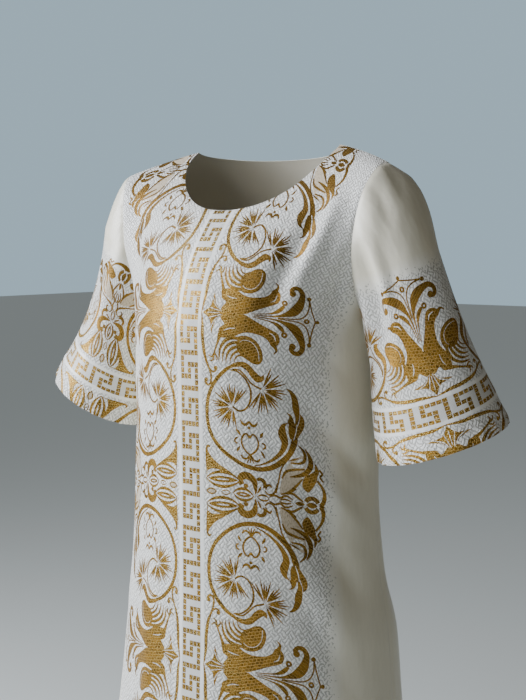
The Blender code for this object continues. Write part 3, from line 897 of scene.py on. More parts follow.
def arc(across, along, radius, start, end, step):
    count = max(ARC_POINTS, int(np.radians(abs(end - start)) * radius / step))
    angle = np.radians(np.linspace(start, end, count))
    return np.stack([across + radius * np.cos(angle), along + radius * np.sin(angle)], -1)


def shapes_of(motif, step):
    """A motif as (tone, ring) pairs in millimetres."""
    if isinstance(motif, Stroke):
        return [(motif.tone, ribbon(curve_through(motif.path, step, False)))]
    if isinstance(motif, Fill):
        ring = curve_through(motif.path, step, True) if motif.curved else np.array(motif.path, float)
        return [(motif.tone, ring)]
    if isinstance(motif, Disc):
        return [(motif.tone, arc(motif.across, motif.along, motif.radius, 0, 360, step)[:-1])]
    if isinstance(motif, Lens):
        ring = lens_ring(motif.long, motif.wide, max(LENS_POINTS, int(motif.long / step)))
        return [(motif.tone, ring + (motif.across, motif.along))]
    if isinstance(motif, Ring):
        line = arc(motif.across, motif.along, motif.radius, motif.start, motif.end, step)
        return [(motif.tone, ribbon(np.column_stack([line, np.full(len(line), motif.width)])))]
    found = []
    for k, angle in enumerate(np.linspace(motif.start, motif.end, motif.rays)):
        reach = motif.reach * PALM_REACHES[k % len(PALM_REACHES)]
        start = PALM_STARTS[k % len(PALM_STARTS)]
        ray = lens_ring(reach - start, PALM_RAY, LENS_POINTS) + ((reach + start) / 2, 0)
        slit = k % PALM_SLIT_EVERY == PALM_FIRST_SLIT
        ray = turned(ray * (1, PALM_SLIT_WIDTH if slit else 1), angle) + (motif.across, motif.along)
        found.append(("ground" if slit else "gold", ray))
    return found


def border_shapes(first, last, step):
    """The whole border as (tone, ring) pairs in metres, for the stretch from first to last along it."""
    start = (MOTIF_START, 0)
    drawn = {}
    for name, motifs in {"quarter": QUARTER + QUARTER_ROUNDS, **AXIS_ROUNDS}.items():
        shapes = [shape for m in motifs for shape in shapes_of(m, step / MM)]
        drawn[name] = [(tone, (ring - start) * MM) for tone, ring in shapes]
    found = []
    half = REPEAT / 2
    number = int(np.floor((first - BIRD_DOWN) / half)) - 1
    while BIRD_DOWN + number * half < last + half:
        middle = BIRD_DOWN + number * half
        is_bird = number % 2 == 0
        for side in (-1, 1):
            for tone, ring in drawn["bird" if is_bird else "lens"]:
                found.append((tone, ring * (side, 1) + (0, middle)))
            if is_bird:
                for way in (-1, 1):
                    for tone, ring in drawn["quarter"]:
                        found.append((tone, ring * (side, way) + (0, middle)))
        number += 1
    low = first - PAST_ENDS[0]
    high = last + PAST_ENDS[1]
    return [(tone, ring) for tone, ring in found if ring[:, 1].max() > low and ring[:, 1].min() < high]


def key_shapes(first, last):
    """The key band's squares as (tone, ring) pairs in metres."""
    found = []
    width, height = KEY_SQUARE
    square = np.array([(-width, -height), (width, -height), (width, height), (-width, height)]) / 2
    middle_column = len(KEY_UNIT[0]) // 2
    row = int(np.floor((first / MM - KEY_START) / KEY_ROW))
    while (row * KEY_ROW + KEY_START) * MM < last:
        for column, mark in enumerate(KEY_UNIT[row % len(KEY_UNIT)]):
            if mark == "#":
                middle = ((column - middle_column) * KEY_COLUMN, row * KEY_ROW + KEY_START)
                found.append(("gold", (square + middle) * MM))
        row += 1
    return found


def inside(ring, points):
    """Which points lie inside a ring, counted by its windings."""
    x, y = points[:, :1], points[:, 1:]
    x0, y0 = ring.T
    x1, y1 = np.roll(ring, -1, 0).T
    left = (x1 - x0) * (y - y0) - (x - x0) * (y1 - y0)
    turns = ((y0 <= y) & (y1 > y) & (left > 0)).sum(1) - ((y0 > y) & (y1 <= y) & (left < 0)).sum(1)
    return turns != 0


def inside_many(ring, points):
    parts = np.array_split(points, len(points) // TESTED_AT_ONCE + 1)
    return np.concatenate([inside(ring, part) for part in parts])


def signed_area(ring):
    """Twice a flat ring's area, more than 0 where it runs counter-clockwise."""
    return (ring[:, 0] * np.roll(ring[:, 1], -1) - np.roll(ring[:, 0], -1) * ring[:, 1]).sum()


def search_tree(points):
    """A search tree over flat points."""
    tree = kdtree.KDTree(len(points))
    for i, p in enumerate(points):
        tree.insert((p[0], p[1], 0), i)
    tree.balance()
    return tree


def distances(tree, points):
    return np.array([tree.find((p[0], p[1], 0))[2] for p in points])


def rows_by_edge(ring, depths):
    """Rows of points inside a counter-clockwise or clockwise ring, at the given depths."""
    ahead = np.roll(ring, -1, 0) - np.roll(ring, 1, 0)
    inward = unit(ahead)[:, ::-1] * (-1, 1)
    inward = inward * np.sign(signed_area(ring))
    return np.concatenate([ring + inward * d for d in depths])


def fill_flat(ring, shapes, step, edge_depths):
    """Triangles over a flat ring, with every shape's edge in them. Returns points and triangles."""
    low = ring.min(0)
    high = ring.max(0)
    columns = np.arange(low[0], high[0], step)
    x, y = np.meshgrid(columns, np.arange(low[1], high[1], step * ROW_SHARE), indexing="ij")
    x = x + (np.arange(x.shape[1]) % 2) * step / 2
    grid = np.stack([x.ravel(), y.ravel()], -1)
    near = search_tree(ring)
    grid = grid[inside_many(ring, grid)]
    grid = grid[distances(near, grid) > step * GRID_CLEAR]
    rows = rows_by_edge(ring, edge_depths)
    rows = rows[inside_many(ring, rows)]
    rows = rows[distances(near, rows) > edge_depths[0] * EDGE_CLEAR]
    places = [ring]
    edges = [(i, (i + 1) % len(ring)) for i in range(len(ring))]
    count = len(ring)
    for _, shape in shapes:
        edges += [(count + i, count + (i + 1) % len(shape)) for i in range(len(shape))]
        places.append(shape)
        count += len(shape)
    places += [rows, grid]
    flat = np.concatenate(places)
    spots = [Vector(p) for p in flat]
    verts, _, faces, _, _, _ = delaunay_2d_cdt(spots, edges, [], 0, SAME_POINT, False)
    points = np.array([v[:] for v in verts])
    triangles = np.array([f for f in faces if len(f) == 3])
    keep = inside_many(ring, points[triangles].mean(1))
    return points, triangles[keep]


def tone_faces(points, triangles, shapes):
    """The tone number of each triangle: that of the last shape that holds its middle."""
    middle = points[triangles].mean(1)
    order = np.argsort(middle[:, 1], kind="stable")
    sorted_y = middle[order, 1]
    tone_of = np.zeros(len(triangles), int)
    for tone, ring in shapes:
        low, high = np.searchsorted(sorted_y, (ring[:, 1].min(), ring[:, 1].max()))
        rows = order[low:high]
        rows = rows[(middle[rows, 0] > ring[:, 0].min()) & (middle[rows, 0] < ring[:, 0].max())]
        if len(rows):
            rows = rows[inside(ring, middle[rows])]
            tone_of[rows] = TONES.index(tone)
    return tone_of


def border_loops(triangles):
    """The directed edges that only one triangle uses, joined into rings of point numbers."""
    edges = np.concatenate([triangles[:, [0, 1]], triangles[:, [1, 2]], triangles[:, [2, 0]]])
    known = {(int(a), int(b)) for a, b in edges}
    after = {a: b for a, b in known if (b, a) not in known}
    loops = []
    while after:
        start = next(iter(after))
        loop = [start]
        step = after.pop(start)
        while step != start:
            loop.append(step)
            step = after.pop(step)
        loops.append(loop)
    return loops


def without_slivers(points, triangles):
    """The triangles with some area, and the points that they use."""
    corners = points[triangles]
    span = corners[:, 1:] - corners[:, :1]
    doubled_area = span[:, 0, 0] * span[:, 1, 1] - span[:, 0, 1] * span[:, 1, 0]
    triangles = triangles[np.abs(doubled_area) > SLIVER_AREA]
    used = np.unique(triangles)
    renumber = np.full(len(points), -1)
    renumber[used] = np.arange(len(used))
    return points[used], renumber[triangles]


def facing(places, triangles, normal):
    """The triangles, all turned round where they face against the normals."""
    a, b, c = (places[triangles[:, k]] for k in range(3))
    against = (np.cross(b - a, c - a) * normal[triangles[:, 0]]).sum() < 0
    return triangles[:, ::-1] if against else triangles


def longest_loop(triangles):
    return max(border_loops(triangles), key=len)


def edge_roll(edge, points):
    """How far each flat point sinks where the cloth's edge turns in."""
    ahead = np.roll(edge, -1, 0) - edge
    parts = [edge + ahead * k / EDGE_PARTS for k in range(EDGE_PARTS)]
    away = distances(search_tree(np.concatenate(parts)), points)
    return EDGE_ROLL * np.exp(-((away / EDGE_ROLL_WIDTH) ** 2))


def rim_faces(loop, behind):
    """The turned edge's faces, from the right side's edge points to those behind them."""
    faces = []
    for i, j, a, b in zip(loop, loop[1:] + loop[:1], behind, behind[1:] + behind[:1]):
        faces += [(j, i, a), (j, a, b)] if a != b else [(j, i, a)]
    return np.array(faces)


def cloth_object(name, places, faces, slots, flat, off_key):
    """A mesh object that knows each face's material, and each point's flat place and key distance."""
    mesh = bpy.data.meshes.new(name)
    mesh.from_pydata(places.tolist(), [], faces.tolist())
    mesh.polygons.foreach_set("material_index", slots.astype(np.int32))
    layer = mesh.uv_layers.new(name="cloth")
    corner = np.empty(len(mesh.loops), np.int32)
    mesh.loops.foreach_get("vertex_index", corner)
    layer.data.foreach_set("uv", flat[corner].astype(np.float32).ravel())
    reach = mesh.attributes.new("off_key", "FLOAT", "POINT")
    reach.data.foreach_set("value", off_key.astype(np.float32))
    mesh.shade_smooth()
    mesh.set_sharp_from_angle(angle=HARD_EDGE)
    mesh.validate()
    piece = bpy.data.objects.new(name, mesh)
    bpy.context.scene.collection.objects.link(piece)
    return piece


def shell(name, cut, shapes, key_distance, settings):
    """A closed cloth shell over a cut's flat outline: right side, wrong side and the edge between."""
    points, triangles = without_slivers(*fill_flat(cut.outline(), shapes, settings.face_step, EDGE_ROWS))
    tone_of = tone_faces(points, triangles, shapes)
    edge = points[longest_loop(triangles)]
    outer, normal = cut.surface(points)
    outer = outer - normal * edge_roll(edge, points)[:, None]
    triangles = facing(outer, triangles, normal)
    in_points, in_triangles = fill_flat(edge, [], settings.wrong_side_step, WRONG_SIDE_ROWS)
    inner, in_normal = cut.surface(in_points)
    inner = inner - in_normal * settings.cloth_thickness
    in_triangles = facing(inner, in_triangles, -in_normal)
    first = len(points)
    loop = longest_loop(triangles)
    nearest = search_tree(in_points)
    rim = rim_faces(loop, [nearest.find((*points[i], 0))[1] + first for i in loop])
    places = np.concatenate([outer, inner])
    faces = np.concatenate([triangles, in_triangles + first, rim])
    wrong_and_turned = np.repeat([len(TONES), len(TONES) + 1], [len(in_triangles), len(rim)])
    slots = np.concatenate([tone_of, wrong_and_turned])
    flat = np.concatenate([points, in_points])
    return cloth_object(name, places, faces, slots, flat, key_distance(flat))


def add_node(tree, kind, inputs=(), **settings):
    """Adds a shader node. inputs maps sockets to values, or to the nodes and sockets that feed them."""
    node = tree.nodes.new("ShaderNode" + kind)
    for name, value in settings.items():
        setattr(node, name, value)
    pairs = inputs.items() if isinstance(inputs, dict) else enumerate(inputs)
    for name, value in pairs:
        if isinstance(value, bpy.types.Node):
            value = value.outputs[0]
        if isinstance(value, bpy.types.NodeSocket):
            tree.links.new(value, node.inputs[name])
        elif value is not None:
            node.inputs[name].default_value = value
    return node


def new_material(name, values):
    """A material with a Principled shader, whose plain numbers are set on its own sockets."""
    material = bpy.data.materials.new(name)
    material.use_nodes = True
    tree = material.node_tree
    shader = tree.nodes["Principled BSDF"]
    for socket, value in values.items():
        shader.inputs[socket].default_value = value
    return material, tree, shader


def rgba(colour):
    return (*colour, 1.0)


def per_metre(*sizes):
    """A pattern's scale from its real sizes in millimetres, across and along the cloth."""
    scale = [1 / (size * MM) for size in sizes]
    return scale[0] if len(scale) == 1 else (*scale, 1)


def behind_border(tree):
    """1 where the border's threads lie, and 0 out in the plain cloth."""
    away = add_node(tree, "Attribute", attribute_name="off_key").outputs["Fac"]
    return add_node(tree, "MapRange", (away, FADE_START, FADE_END, 1.0, 0.0))


def uneven(tree, uv, size, reach):
    """Places on the cloth, moved about a little, so that no row of thread runs dead straight.

    size is that of the noise that moves them, and reach is twice as far as it can, in millimetres.
    """
    wobble = add_node(tree, "TexNoise", {"Vector": uv, "Scale": per_metre(size), "Detail": 1.0})
    middle = (0.5, 0.5, 0.5)
    wobble = add_node(tree, "VectorMath", (wobble.outputs["Color"], middle), operation="SUBTRACT")
    wobble = add_node(tree, "VectorMath", {0: wobble, 3: reach * MM}, operation="SCALE")
    return add_node(tree, "VectorMath", (uv, wobble), operation="ADD")


def stretched_noise(tree, uv, sizes, detail, turn=0.0):
    """Noise with marks of the given sizes in millimetres, across and along the cloth."""
    marks = add_node(tree, "Mapping", {"Vector": uv, "Rotation": (0, 0, turn), "Scale": per_metre(*sizes)})
    return add_node(tree, "TexNoise", {"Vector": marks, "Scale": 1.0, "Detail": detail})


def quilted_ground(tree, uv, cell):
    """How deep the quilted ground's lines are sunk.

    Its raised dashes lie in pairs in small cells, lengthwise and crosswise by turns. It thins out where
    the border ends. Smooth strips keep it off the key band, whose own ground is a fine check.
    """
    loose = uneven(tree, uv, 3.846, 4.6)
    turn = (0, 0, np.radians(40))
    size = (1 / cell, 0.8 / cell, 1)
    grid = add_node(tree, "Mapping", {"Vector": loose, "Rotation": turn, "Scale": size})
    corner = add_node(tree, "VectorMath", (grid,), operation="FLOOR")
    within = add_node(tree, "VectorMath", (grid,), operation="FRACTION")
    at = add_node(tree, "SeparateXYZ", (corner,))
    place = add_node(tree, "SeparateXYZ", (within,))
    both = add_node(tree, "Math", (at.outputs[0], at.outputs[1]), operation="ADD")
    parity = add_node(tree, "Math", (both, 2.0), operation="FLOORED_MODULO")
    over = add_node(tree, "Mix", {0: parity, 2: place.outputs[0], 3: place.outputs[1]})
    length = add_node(tree, "Mix", {0: parity, 2: place.outputs[1], 3: place.outputs[0]})
    wave = add_node(tree, "Math", (over, 0.25), operation="PINGPONG")
    crest = add_node(tree, "MapRange", (wave, 0.02, 0.17, 0.0, 1.0), interpolation_type="SMOOTHSTEP")
    ends = add_node(tree, "Math", (length, 0.5), operation="PINGPONG")
    tip = add_node(tree, "MapRange", (ends, 0.0, 0.10, 0.0, 1.0), interpolation_type="SMOOTHSTEP")
    dash = add_node(tree, "Math", (crest, tip), operation="MULTIPLY")
    away = add_node(tree, "Attribute", attribute_name="off_key").outputs["Fac"]
    chance = add_node(tree, "TexNoise", {"Vector": uv, "Scale": per_metre(3.03), "Detail": 0.0})
    fade = add_node(tree, "MapRange", (away, FADE_START, FADE_END, 0.80, 0.02))
    woven = add_node(tree, "Math", (fade, chance), operation="SUBTRACT")
    woven = add_node(tree, "MapRange", (woven, -0.01, 0.03, 0.0, 1.0))
    strip = add_node(tree, "MapRange", (away, *STRIP_END, 0.0, 1.0))
    quilt = add_node(tree, "Math", (woven, strip), operation="MULTIPLY")
    hollow = add_node(tree, "Math", (1.0, dash), operation="SUBTRACT")
    hollow = add_node(tree, "Math", (hollow, quilt), operation="MULTIPLY")
    check = add_node(tree, "TexChecker", {"Vector": uv, "Scale": per_metre(KEY_CHECK)}).outputs["Fac"]
    band = add_node(tree, "MapRange", (away, *STRIP_START, 0.55, 0.0))
    check = add_node(tree, "Math", (check, band), operation="MULTIPLY")
    return add_node(tree, "Math", (hollow, check), operation="ADD")


def brocade_ground(name, settings):
    """Brocade of silk and cotton, satin woven: silky, bright cream, with a ground of cool white dashes.

    Fine slubs run along the yarn. Wide soft patches and a slight rumple show wear.
    """
    material, tree, shader = new_material(name, {
        "Roughness": 0.40, "Specular IOR Level": 0.5, "Sheen Weight": 0.22, "Sheen Roughness": 0.35,
    })
    uv = add_node(tree, "UVMap", uv_map="cloth")
    hollow = quilted_ground(tree, uv, settings.dash_cell)
    slub = stretched_noise(tree, uv, (0.7143, 8.333), 2.0)
    patches = stretched_noise(tree, uv, (111.1, 200), 3.0)
    rumple = stretched_noise(tree, uv, (23.81, 58.82), 2.0)
    tint = add_node(tree, "MapRange", (slub, 0.3, 0.7, 0.955, 1.0))
    shade = add_node(tree, "MapRange", (patches, 0.3, 0.7, 0.965, 1.0))
    tint = add_node(tree, "Math", (tint, shade), operation="MULTIPLY")
    plain, white = rgba(settings.ivory), rgba(settings.ground_white)
    cloth = add_node(tree, "Mix", {0: behind_border(tree), 6: plain, 7: white}, data_type="RGBA").outputs[2]
    # Painted shade: the sunken lines between the dashes are darkened in colour, and the key band's woven
    # check is darkened the same way
    painted_shade_and_check = add_node(tree, "Math", (hollow, 0.66), operation="MULTIPLY")
    valley = rgba(settings.ground_valley)
    cloth = add_node(tree, "Mix", {0: painted_shade_and_check, 6: cloth, 7: valley}, data_type="RGBA").outputs[2]
    cloth = add_node(tree, "VectorMath", {0: cloth, 3: tint}, operation="SCALE")
    tree.links.new(cloth.outputs[0], shader.inputs["Base Color"])
    rough = add_node(tree, "MapRange", (hollow, 0.0, 1.0, 0.35, 0.60))
    tree.links.new(rough.outputs[0], shader.inputs["Roughness"])
    deep = add_node(tree, "Math", (hollow, -1.0), operation="MULTIPLY")
    bump = None
    for strength, distance, height in ((0.10, 0.0002, slub), (0.55, 0.0035, rumple), (1.0, 0.00055, deep)):
        bump = add_node(tree, "Bump", {
            "Strength": strength, "Distance": distance, "Height": height, "Normal": bump,
        })
    tree.links.new(bump.outputs[0], shader.inputs["Normal"])
    return material


def gold_thread(name, settings, cells):
    """Gold lurex thread, brocaded: rows of short floats, bright or brown, with paler slits between.

    It shines like metal film, but its many turned threads scatter much of the light, so it is only
    partly metallic. Single threads by the key band get painted highlights, and painted shade darkens the
    yoke.
    """
    shine = {"Metallic": 0.42, "Roughness": 0.36, "Specular IOR Level": 0.05}
    material, tree, shader = new_material(name, shine)
    uv = add_node(tree, "UVMap", uv_map="cloth")
    loose = uneven(tree, uv, 4.167, 2.2)
    # The brick texture works best near its own size, so the places are given in centimetres
    turn = (0, 0, np.radians(cells.angle))
    loose = add_node(tree, "Mapping", {"Vector": loose, "Rotation": turn, "Scale": (100, 100, 1)})
    floats = add_node(tree, "TexBrick", {
        "Vector": loose, "Color1": (0, 0, 0, 1), "Color2": (1, 1, 1, 1), "Mortar": (0.5, 0.5, 0.5, 1),
        "Scale": 1.0, "Mortar Size": cells.high * 100 * cells.gap, "Mortar Smooth": 0.4, "Bias": 0.0,
        "Brick Width": cells.long * 100, "Row Height": cells.high * 100,
    })
    chance = add_node(tree, "TexNoise", {"Vector": uv, "Scale": per_metre(1.613), "Detail": 1.0})
    share = add_node(tree, "Math", (floats.outputs["Color"], 0.42, chance), operation="MULTIPLY_ADD")
    share = add_node(tree, "MapRange", (share, 0.30, 1.10, 0.0, 1.0))
    gap = floats.outputs["Fac"]
    # Painted shade: the gold is darkened towards the top of the yoke
    place = add_node(tree, "TexCoord").outputs["Object"]
    height = add_node(tree, "SeparateXYZ", (place,)).outputs[2]
    painted_yoke_shade = add_node(tree, "MapRange", (height, *YOKE_SHADE_HEIGHTS, 0.0, YOKE_SHADE_STRENGTH))
    away = add_node(tree, "Attribute", attribute_name="off_key").outputs["Fac"]
    # Painted highlight: bright glints are painted into the colour, most of them by the key band
    near = add_node(tree, "MapRange", (away, *PAINTED_GLINT_REACH, 1.0, 0.12))
    painted_glint_mask = add_node(tree, "TexNoise", {"Vector": uv, "Scale": per_metre(1.1111), "Detail": 0.0})
    painted_glint_mask = add_node(tree, "MapRange", (painted_glint_mask, 0.61, 0.67, 0.0, 1.0))
    painted_glint_mask = add_node(tree, "Math", (painted_glint_mask, near), operation="MULTIPLY")
    colour = rgba(settings.gold_deep)
    for amount, other in (
        (share, settings.gold),
        (gap, settings.gold_pale),
        (painted_yoke_shade, settings.gold_deep),
        (painted_glint_mask, settings.glint),
    ):
        colour = add_node(tree, "Mix", {0: amount, 6: colour, 7: rgba(other)}, data_type="RGBA").outputs[2]
    tree.links.new(colour, shader.inputs["Base Color"])
    raised = add_node(tree, "Math", (share, gap), operation="SUBTRACT")
    bump = add_node(tree, "Bump", {"Strength": 0.8, "Distance": 0.0004, "Height": raised})
    tree.links.new(bump.outputs[0], shader.inputs["Normal"])
    return material


def flecked_cloth(name, values, pattern, reach, first, second, bump, border_only):
    """Cloth of one colour flecked with another, as all the brocade's duller sides are."""
    material, tree, shader = new_material(name, values)
    uv = add_node(tree, "UVMap", uv_map="cloth")
    marks = pattern(tree, uv)
    share = add_node(tree, "MapRange", (marks, *reach))
    if border_only:
        share = add_node(tree, "Math", (share, behind_border(tree)), operation="MULTIPLY")
    colour = add_node(tree, "Mix", {0: share, 6: rgba(first), 7: rgba(second)}, data_type="RGBA")
    tree.links.new(colour.outputs[2], shader.inputs["Base Color"])
    if bump:
        strength, distance = bump
        bump = add_node(tree, "Bump", {"Strength": strength, "Distance": distance, "Height": marks})
        tree.links.new(bump.outputs[0], shader.inputs["Normal"])
    return material


def tan_weft(name, settings):
    """Silk weft, floated: a pale tan fill with a dull shine and fine darker ticks."""
    return flecked_cloth(
        name, {"Roughness": 0.48, "Sheen Weight": 0.2},
        lambda tree, uv: stretched_noise(tree, uv, (1.1111, 2.857), 1.0, turn=0.6),
        (0.45, 0.75, 0.0, 0.6), settings.tan, settings.gold_deep, bump=(0.3, 0.0002), border_only=False,
    )


def wrong_side(name, settings):
    """The brocade's wrong side, unpressed: dull cream, with bronze floats of thread behind the border."""
    return flecked_cloth(
        name, {"Roughness": 0.75, "Sheen Weight": 0.1},
        lambda tree, uv: stretched_noise(tree, uv, (6.25, 1.4286), 2.0),
        (0.35, 0.65, 0.25, 0.85), linear(WRONG_SIDE_CREAM), linear(FLOAT_BRONZE),
        bump=(0.4, 0.0003), border_only=True,
    )


def turned_edge(name, settings):
    """The turned edge of the brocade, pressed: dull cream with the border's spare thread showing."""
    return flecked_cloth(
        name, {"Roughness": 0.7},
        lambda tree, uv: add_node(tree, "TexNoise", {"Vector": uv, "Scale": per_metre(2), "Detail": 1.0}),
        (0.35, 0.65, 0.35, 0.9), settings.ivory, linear(EDGE_BRONZE), bump=None, border_only=True,
    )


# The materials in the order of TONES, with the wrong side and the turned edge last
CLOTHS = {
    "brocade_satin_woven": brocade_ground,
    "gold_lurex_brocaded": partial(gold_thread, cells=TWILL),
    "gold_lurex_hatched": partial(gold_thread, cells=LEAF),
    "silk_weft_floated": tan_weft,
    "gold_lurex_netted": partial(gold_thread, cells=NET),
    "brocade_wrong_side": wrong_side,
    "brocade_turned_edge": turned_edge,
}


def cloth_materials(settings):
    """The materials of a shell, made when the first piece asks for them."""
    return [bpy.data.materials.get(name) or make(name, settings) for name, make in CLOTHS.items()]


def finish_piece(piece, settings, node):
    """Gives a shell its materials, and puts it in its solid's place."""
    for material in cloth_materials(settings):
        piece.data.materials.append(material)
    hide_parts(node)
    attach(piece, "root")


def border_middle(down):
    """Where the middle of the key band lies across the front."""
    return np.interp(down, BORDER_DOWN, BORDER_SHIFT)


def hang(ring):
    """A flat ring of the front's border as the cloth hangs: its sides lower, all of it a little aside."""
    across, down = ring.T
    share = np.clip((np.abs(across) - SAG_START) / SAG_RUN, 0, SAG_MOST)
    sag = np.interp(down, SAG_DOWN, GRAIN_SAG) * share**SAG_POWER
    chest = np.interp(down, CHEST_DOWN, (1, 0))
    across = across * (1 + chest * np.where(across < 0, *CHEST_EASE))
    return np.stack([across + border_middle(down), down + sag], -1)


def front_key_distance(flat):
    """How far each flat place of the front lies from the key band, as the ground's fade counts it."""
    away = np.abs(flat[:, 0] - border_middle(flat[:, 1]))
    spread = np.interp(flat[:, 1], YOKE_DOWN, (YOKE_SPREAD, 0))
    return away - spread * np.maximum(0, away - SPREAD_START)


def sleeve_key_distance(flat):
    """How far each flat place of a sleeve lies from its key band, as the ground's fade counts it."""
    return np.abs(flat[:, 1] - SLEEVE_KEY_UP) * SLEEVE_FADE


def eased_up(ring):
    """A flat ring of the front's motifs, drawn up towards the shoulders where the yoke leans back."""
    return ring - np.stack([np.zeros(len(ring)), EASE_UP * np.maximum(0, EASE_DOWN - ring[:, 1])], -1)


def body_panels():
    front = BodyPanel(FRONT_YOKE, "front_y", NECK_DOWN_FRONT, FRONT_FOLDS, -1)
    back = BodyPanel(BACK_YOKE, "back_y", NECK_DOWN_BACK, BACK_FOLDS, 1)
    return front, back


def declare_sheet(cut):
    """Works out the area of a cut's outline, and does nothing with it."""
    area = abs(signed_area(cut.outline())) / 2


class KAFTAN_OT_front(bpy.types.Operator):
    """Make the front, with the woven border down its middle"""

    bl_idname = "kaftan.front"
    bl_label = "Front"

    def execute(self, context):
        settings = context.scene.kaftan
        front, _ = body_panels()
        shapes = border_shapes(0.0, HEM_DOWN, settings.motif_step)
        shapes = [(tone, eased_up(ring)) for tone, ring in shapes]
        shapes += key_shapes(0.0, HEM_DOWN)
        shapes = [(tone, hang(ring)) for tone, ring in shapes]
        piece = shell("front_brocade", front, shapes, front_key_distance, settings)
        finish_piece(piece, settings, "front")
        width = 2 * front.outline()[:, 0].max()
        declare_sheet(front)
        return {"FINISHED"}


class KAFTAN_OT_back(bpy.types.Operator):
    """Make the back, in plain satin"""

    bl_idname = "kaftan.back"
    bl_label = "Back"

    def execute(self, context):
        settings = context.scene.kaftan
        _, back = body_panels()
        piece = shell("back_brocade", back, [], lambda flat: np.ones(len(flat)), settings)
        finish_piece(piece, settings, "back")
        width = 2 * back.outline()[:, 0].max()
        declare_sheet(back)
        return {"FINISHED"}


class KAFTAN_OT_sleeves(bpy.types.Operator):
    """Make both sleeves, with the border turned to run round them"""

    bl_idname = "kaftan.sleeves"
    bl_label = "Sleeves"

    def execute(self, context):
        settings = context.scene.kaftan
        front, back = body_panels()
        for name, cuff in CUFFS.items():
            sleeve = Sleeve(front, back, cuff, SLEEVE_FOLDS[name], CUFF_MORE[name])
            shift = BIRD_DOWN - SLEEVE_BIRD[name]
            first = shift - sleeve.half_round
            last = shift + sleeve.half_round
            shapes = []
            for tone, ring in border_shapes(first, last, settings.motif_step) + key_shapes(first, last):
                round_arm = np.stack([ring[:, 1] - shift, ring[:, 0] + SLEEVE_KEY_UP], -1)
                if round_arm[:, 1].max() > 0:
                    shapes.append((tone, round_arm))
            piece = shell(name + "_brocade", sleeve, shapes, sleeve_key_distance, settings)
            finish_piece(piece, settings, name)
            length = sleeve.outline()[:, 1].max()
            declare_sheet(sleeve)
        return {"FINISHED"}


# Camera, worked out from the photograph's own perspective
IMAGE = (526, 700)
FOCAL_PIXELS = 1186
SENSOR_MM = 36
CAMERA_TURN = 37.5
CAMERA_AWAY = 1.42
CAMERA_AIM = (0, -0.025, -0.108)
AIM_SHIFT_PIXELS = 9.4
CAMERA_PITCH = 5.3

Light = namedtuple("Light", "name turn lift away wide tall power colour")
LIGHTS = (
    Light("window_light", -58, 26, 2.6, 1.3, 1.9, 158, "#F0F5FF"),
    Light("front_fill", -22, 30, 3.0, 1.6, 1.4, 26, "#F8FAFF"),
    Light("room_bounce", 118, 22, 2.8, 1.2, 1.6, 2.5, "#FFE0B0"),
)

# The air's own light on its bright and its dim side, and how it looks behind the garment
AIR_LIGHT = [0.26 * c for c in linear("#DDE0DC")]
AIR_DIM = [0.022 * c for c in linear("#E6D9B8")]
BRIGHT_WAY = (-0.84, -0.40, 0.36)
BRIGHT_SPAN = (-0.8, 0.9)
AIR_SEEN = [0.86 * c for c in linear("#AFC9D8")]
LIGHT_AIM = (0, 0, -0.45)
FLOOR_PAINT = "#C9CCC8"
FLOOR_GLOW = "#C3D0D6"
FLOOR_SIZE = 40
FLOOR_CELLS = 8
FLOOR_BELOW_HEM = 0.012


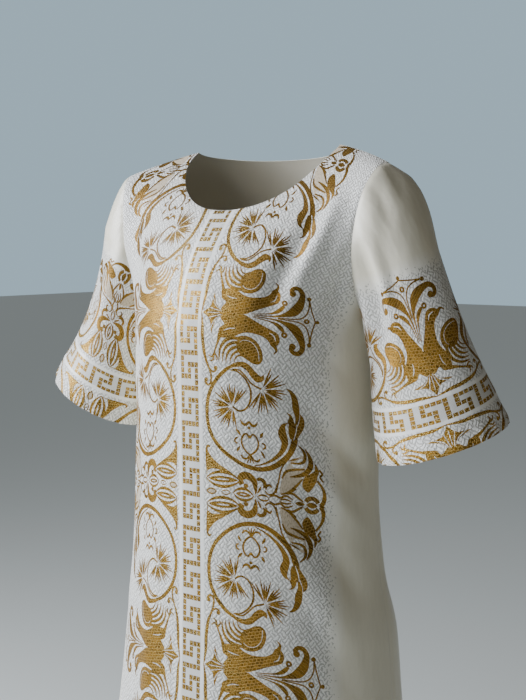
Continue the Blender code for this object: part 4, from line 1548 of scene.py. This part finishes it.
class KAFTAN_OT_stage(bpy.types.Operator):
    """Make the floor, the studio light and the camera"""

    bl_idname = "kaftan.stage"
    bl_label = "Stage"

    def execute(self, context):
        self.add_floor()
        self.add_lights(context)
        self.add_camera(context)
        return {"FINISHED"}

    def add_floor(self):
        """Matt painted floor, rolled: pale and even, with a faint glow that keeps it pale far away."""
        bpy.ops.mesh.primitive_grid_add(
            x_subdivisions=FLOOR_CELLS, y_subdivisions=FLOOR_CELLS, size=FLOOR_SIZE,
            location=(0, 0, -LENGTH - FLOOR_BELOW_HEM),
        )
        floor = bpy.context.object
        floor.name = "studio_floor"
        material, _, _ = new_material("painted_floor_matt", {
            "Base Color": rgba(linear(FLOOR_PAINT)), "Roughness": 0.85,
            "Emission Color": rgba(linear(FLOOR_GLOW)), "Emission Strength": 0.20,
        })
        floor.data.materials.append(material)

    def add_lights(self, context):
        """Soft studio light: a wide window light, a fill, a little warm bounce, and pale air."""
        world = bpy.data.worlds.new("studio_air")
        world.use_nodes = True
        tree = world.node_tree
        seen = add_node(tree, "LightPath").outputs["Is Camera Ray"]
        way = add_node(tree, "TexCoord").outputs["Generated"]
        facing_it = add_node(tree, "VectorMath", (way, BRIGHT_WAY), operation="DOT_PRODUCT")
        bright = add_node(tree, "MapRange", (facing_it.outputs["Value"], *BRIGHT_SPAN, 0.0, 1.0))
        air = rgba(AIR_DIM)
        for share, other in ((bright, AIR_LIGHT), (seen, AIR_SEEN)):
            air = add_node(tree, "Mix", {0: share, 6: air, 7: rgba(other)}, data_type="RGBA").outputs[2]
        tree.links.new(air, tree.nodes["Background"].inputs["Color"])
        context.scene.world = world
        aim = Vector(LIGHT_AIM)
        for light in LIGHTS:
            data = bpy.data.lights.new(light.name, "AREA")
            data.shape = "RECTANGLE"
            data.size = light.wide
            data.size_y = light.tall
            data.energy = light.power
            data.color = linear(light.colour)
            lamp = bpy.data.objects.new(light.name, data)
            turn = np.radians(light.turn)
            lift = np.radians(light.lift)
            from_aim = Vector((np.sin(turn) * np.cos(lift), -np.cos(turn) * np.cos(lift), np.sin(lift)))
            lamp.location = aim + from_aim * light.away
            lamp.rotation_euler = from_aim.to_track_quat("Z", "Y").to_euler()
            context.scene.collection.objects.link(lamp)

    def add_camera(self, context):
        """The photograph's own viewing angle, without depth of field."""
        turn = np.radians(CAMERA_TURN)
        aim = Vector(CAMERA_AIM)
        place = aim + Vector((np.sin(turn), -np.cos(turn), 0)) * CAMERA_AWAY
        yaw = turn - AIM_SHIFT_PIXELS / FOCAL_PIXELS
        data = bpy.data.cameras.new("camera")
        data.sensor_width = SENSOR_MM
        data.lens = FOCAL_PIXELS * SENSOR_MM / max(IMAGE)
        camera = bpy.data.objects.new("camera", data)
        camera.location = place
        camera.rotation_euler = (np.radians(90 - CAMERA_PITCH), 0, yaw)
        context.scene.collection.objects.link(camera)
        context.scene.camera = camera


class KAFTAN_PT_panel(bpy.types.Panel):
    """Lists the kaftan's pieces, sizes and colours"""

    bl_idname = "KAFTAN_PT_panel"
    bl_label = "Brocade Kaftan"
    bl_space_type = "VIEW_3D"
    bl_region_type = "UI"
    bl_category = "Kaftan"

    def draw(self, context):
        settings = context.scene.kaftan
        for name in KaftanSettings.__annotations__:
            self.layout.prop(settings, name)
        for operator in OPERATORS:
            self.layout.operator(operator.bl_idname)


OPERATORS = (KAFTAN_OT_front, KAFTAN_OT_back, KAFTAN_OT_sleeves, KAFTAN_OT_stage)
CLASSES = (KaftanSettings, *OPERATORS, KAFTAN_PT_panel)


def register():
    for item in CLASSES:
        bpy.utils.register_class(item)
    bpy.types.Scene.kaftan = bpy.props.PointerProperty(type=KaftanSettings)


def unregister():
    del bpy.types.Scene.kaftan
    for item in reversed(CLASSES):
        bpy.utils.unregister_class(item)


def main():
    register()
    bpy.ops.object.select_all(action="DESELECT")
    bpy.ops.kaftan.front()
    bpy.ops.kaftan.back()
    bpy.ops.kaftan.sleeves()
    bpy.ops.kaftan.stage()


if __name__ == "__main__":
    main()
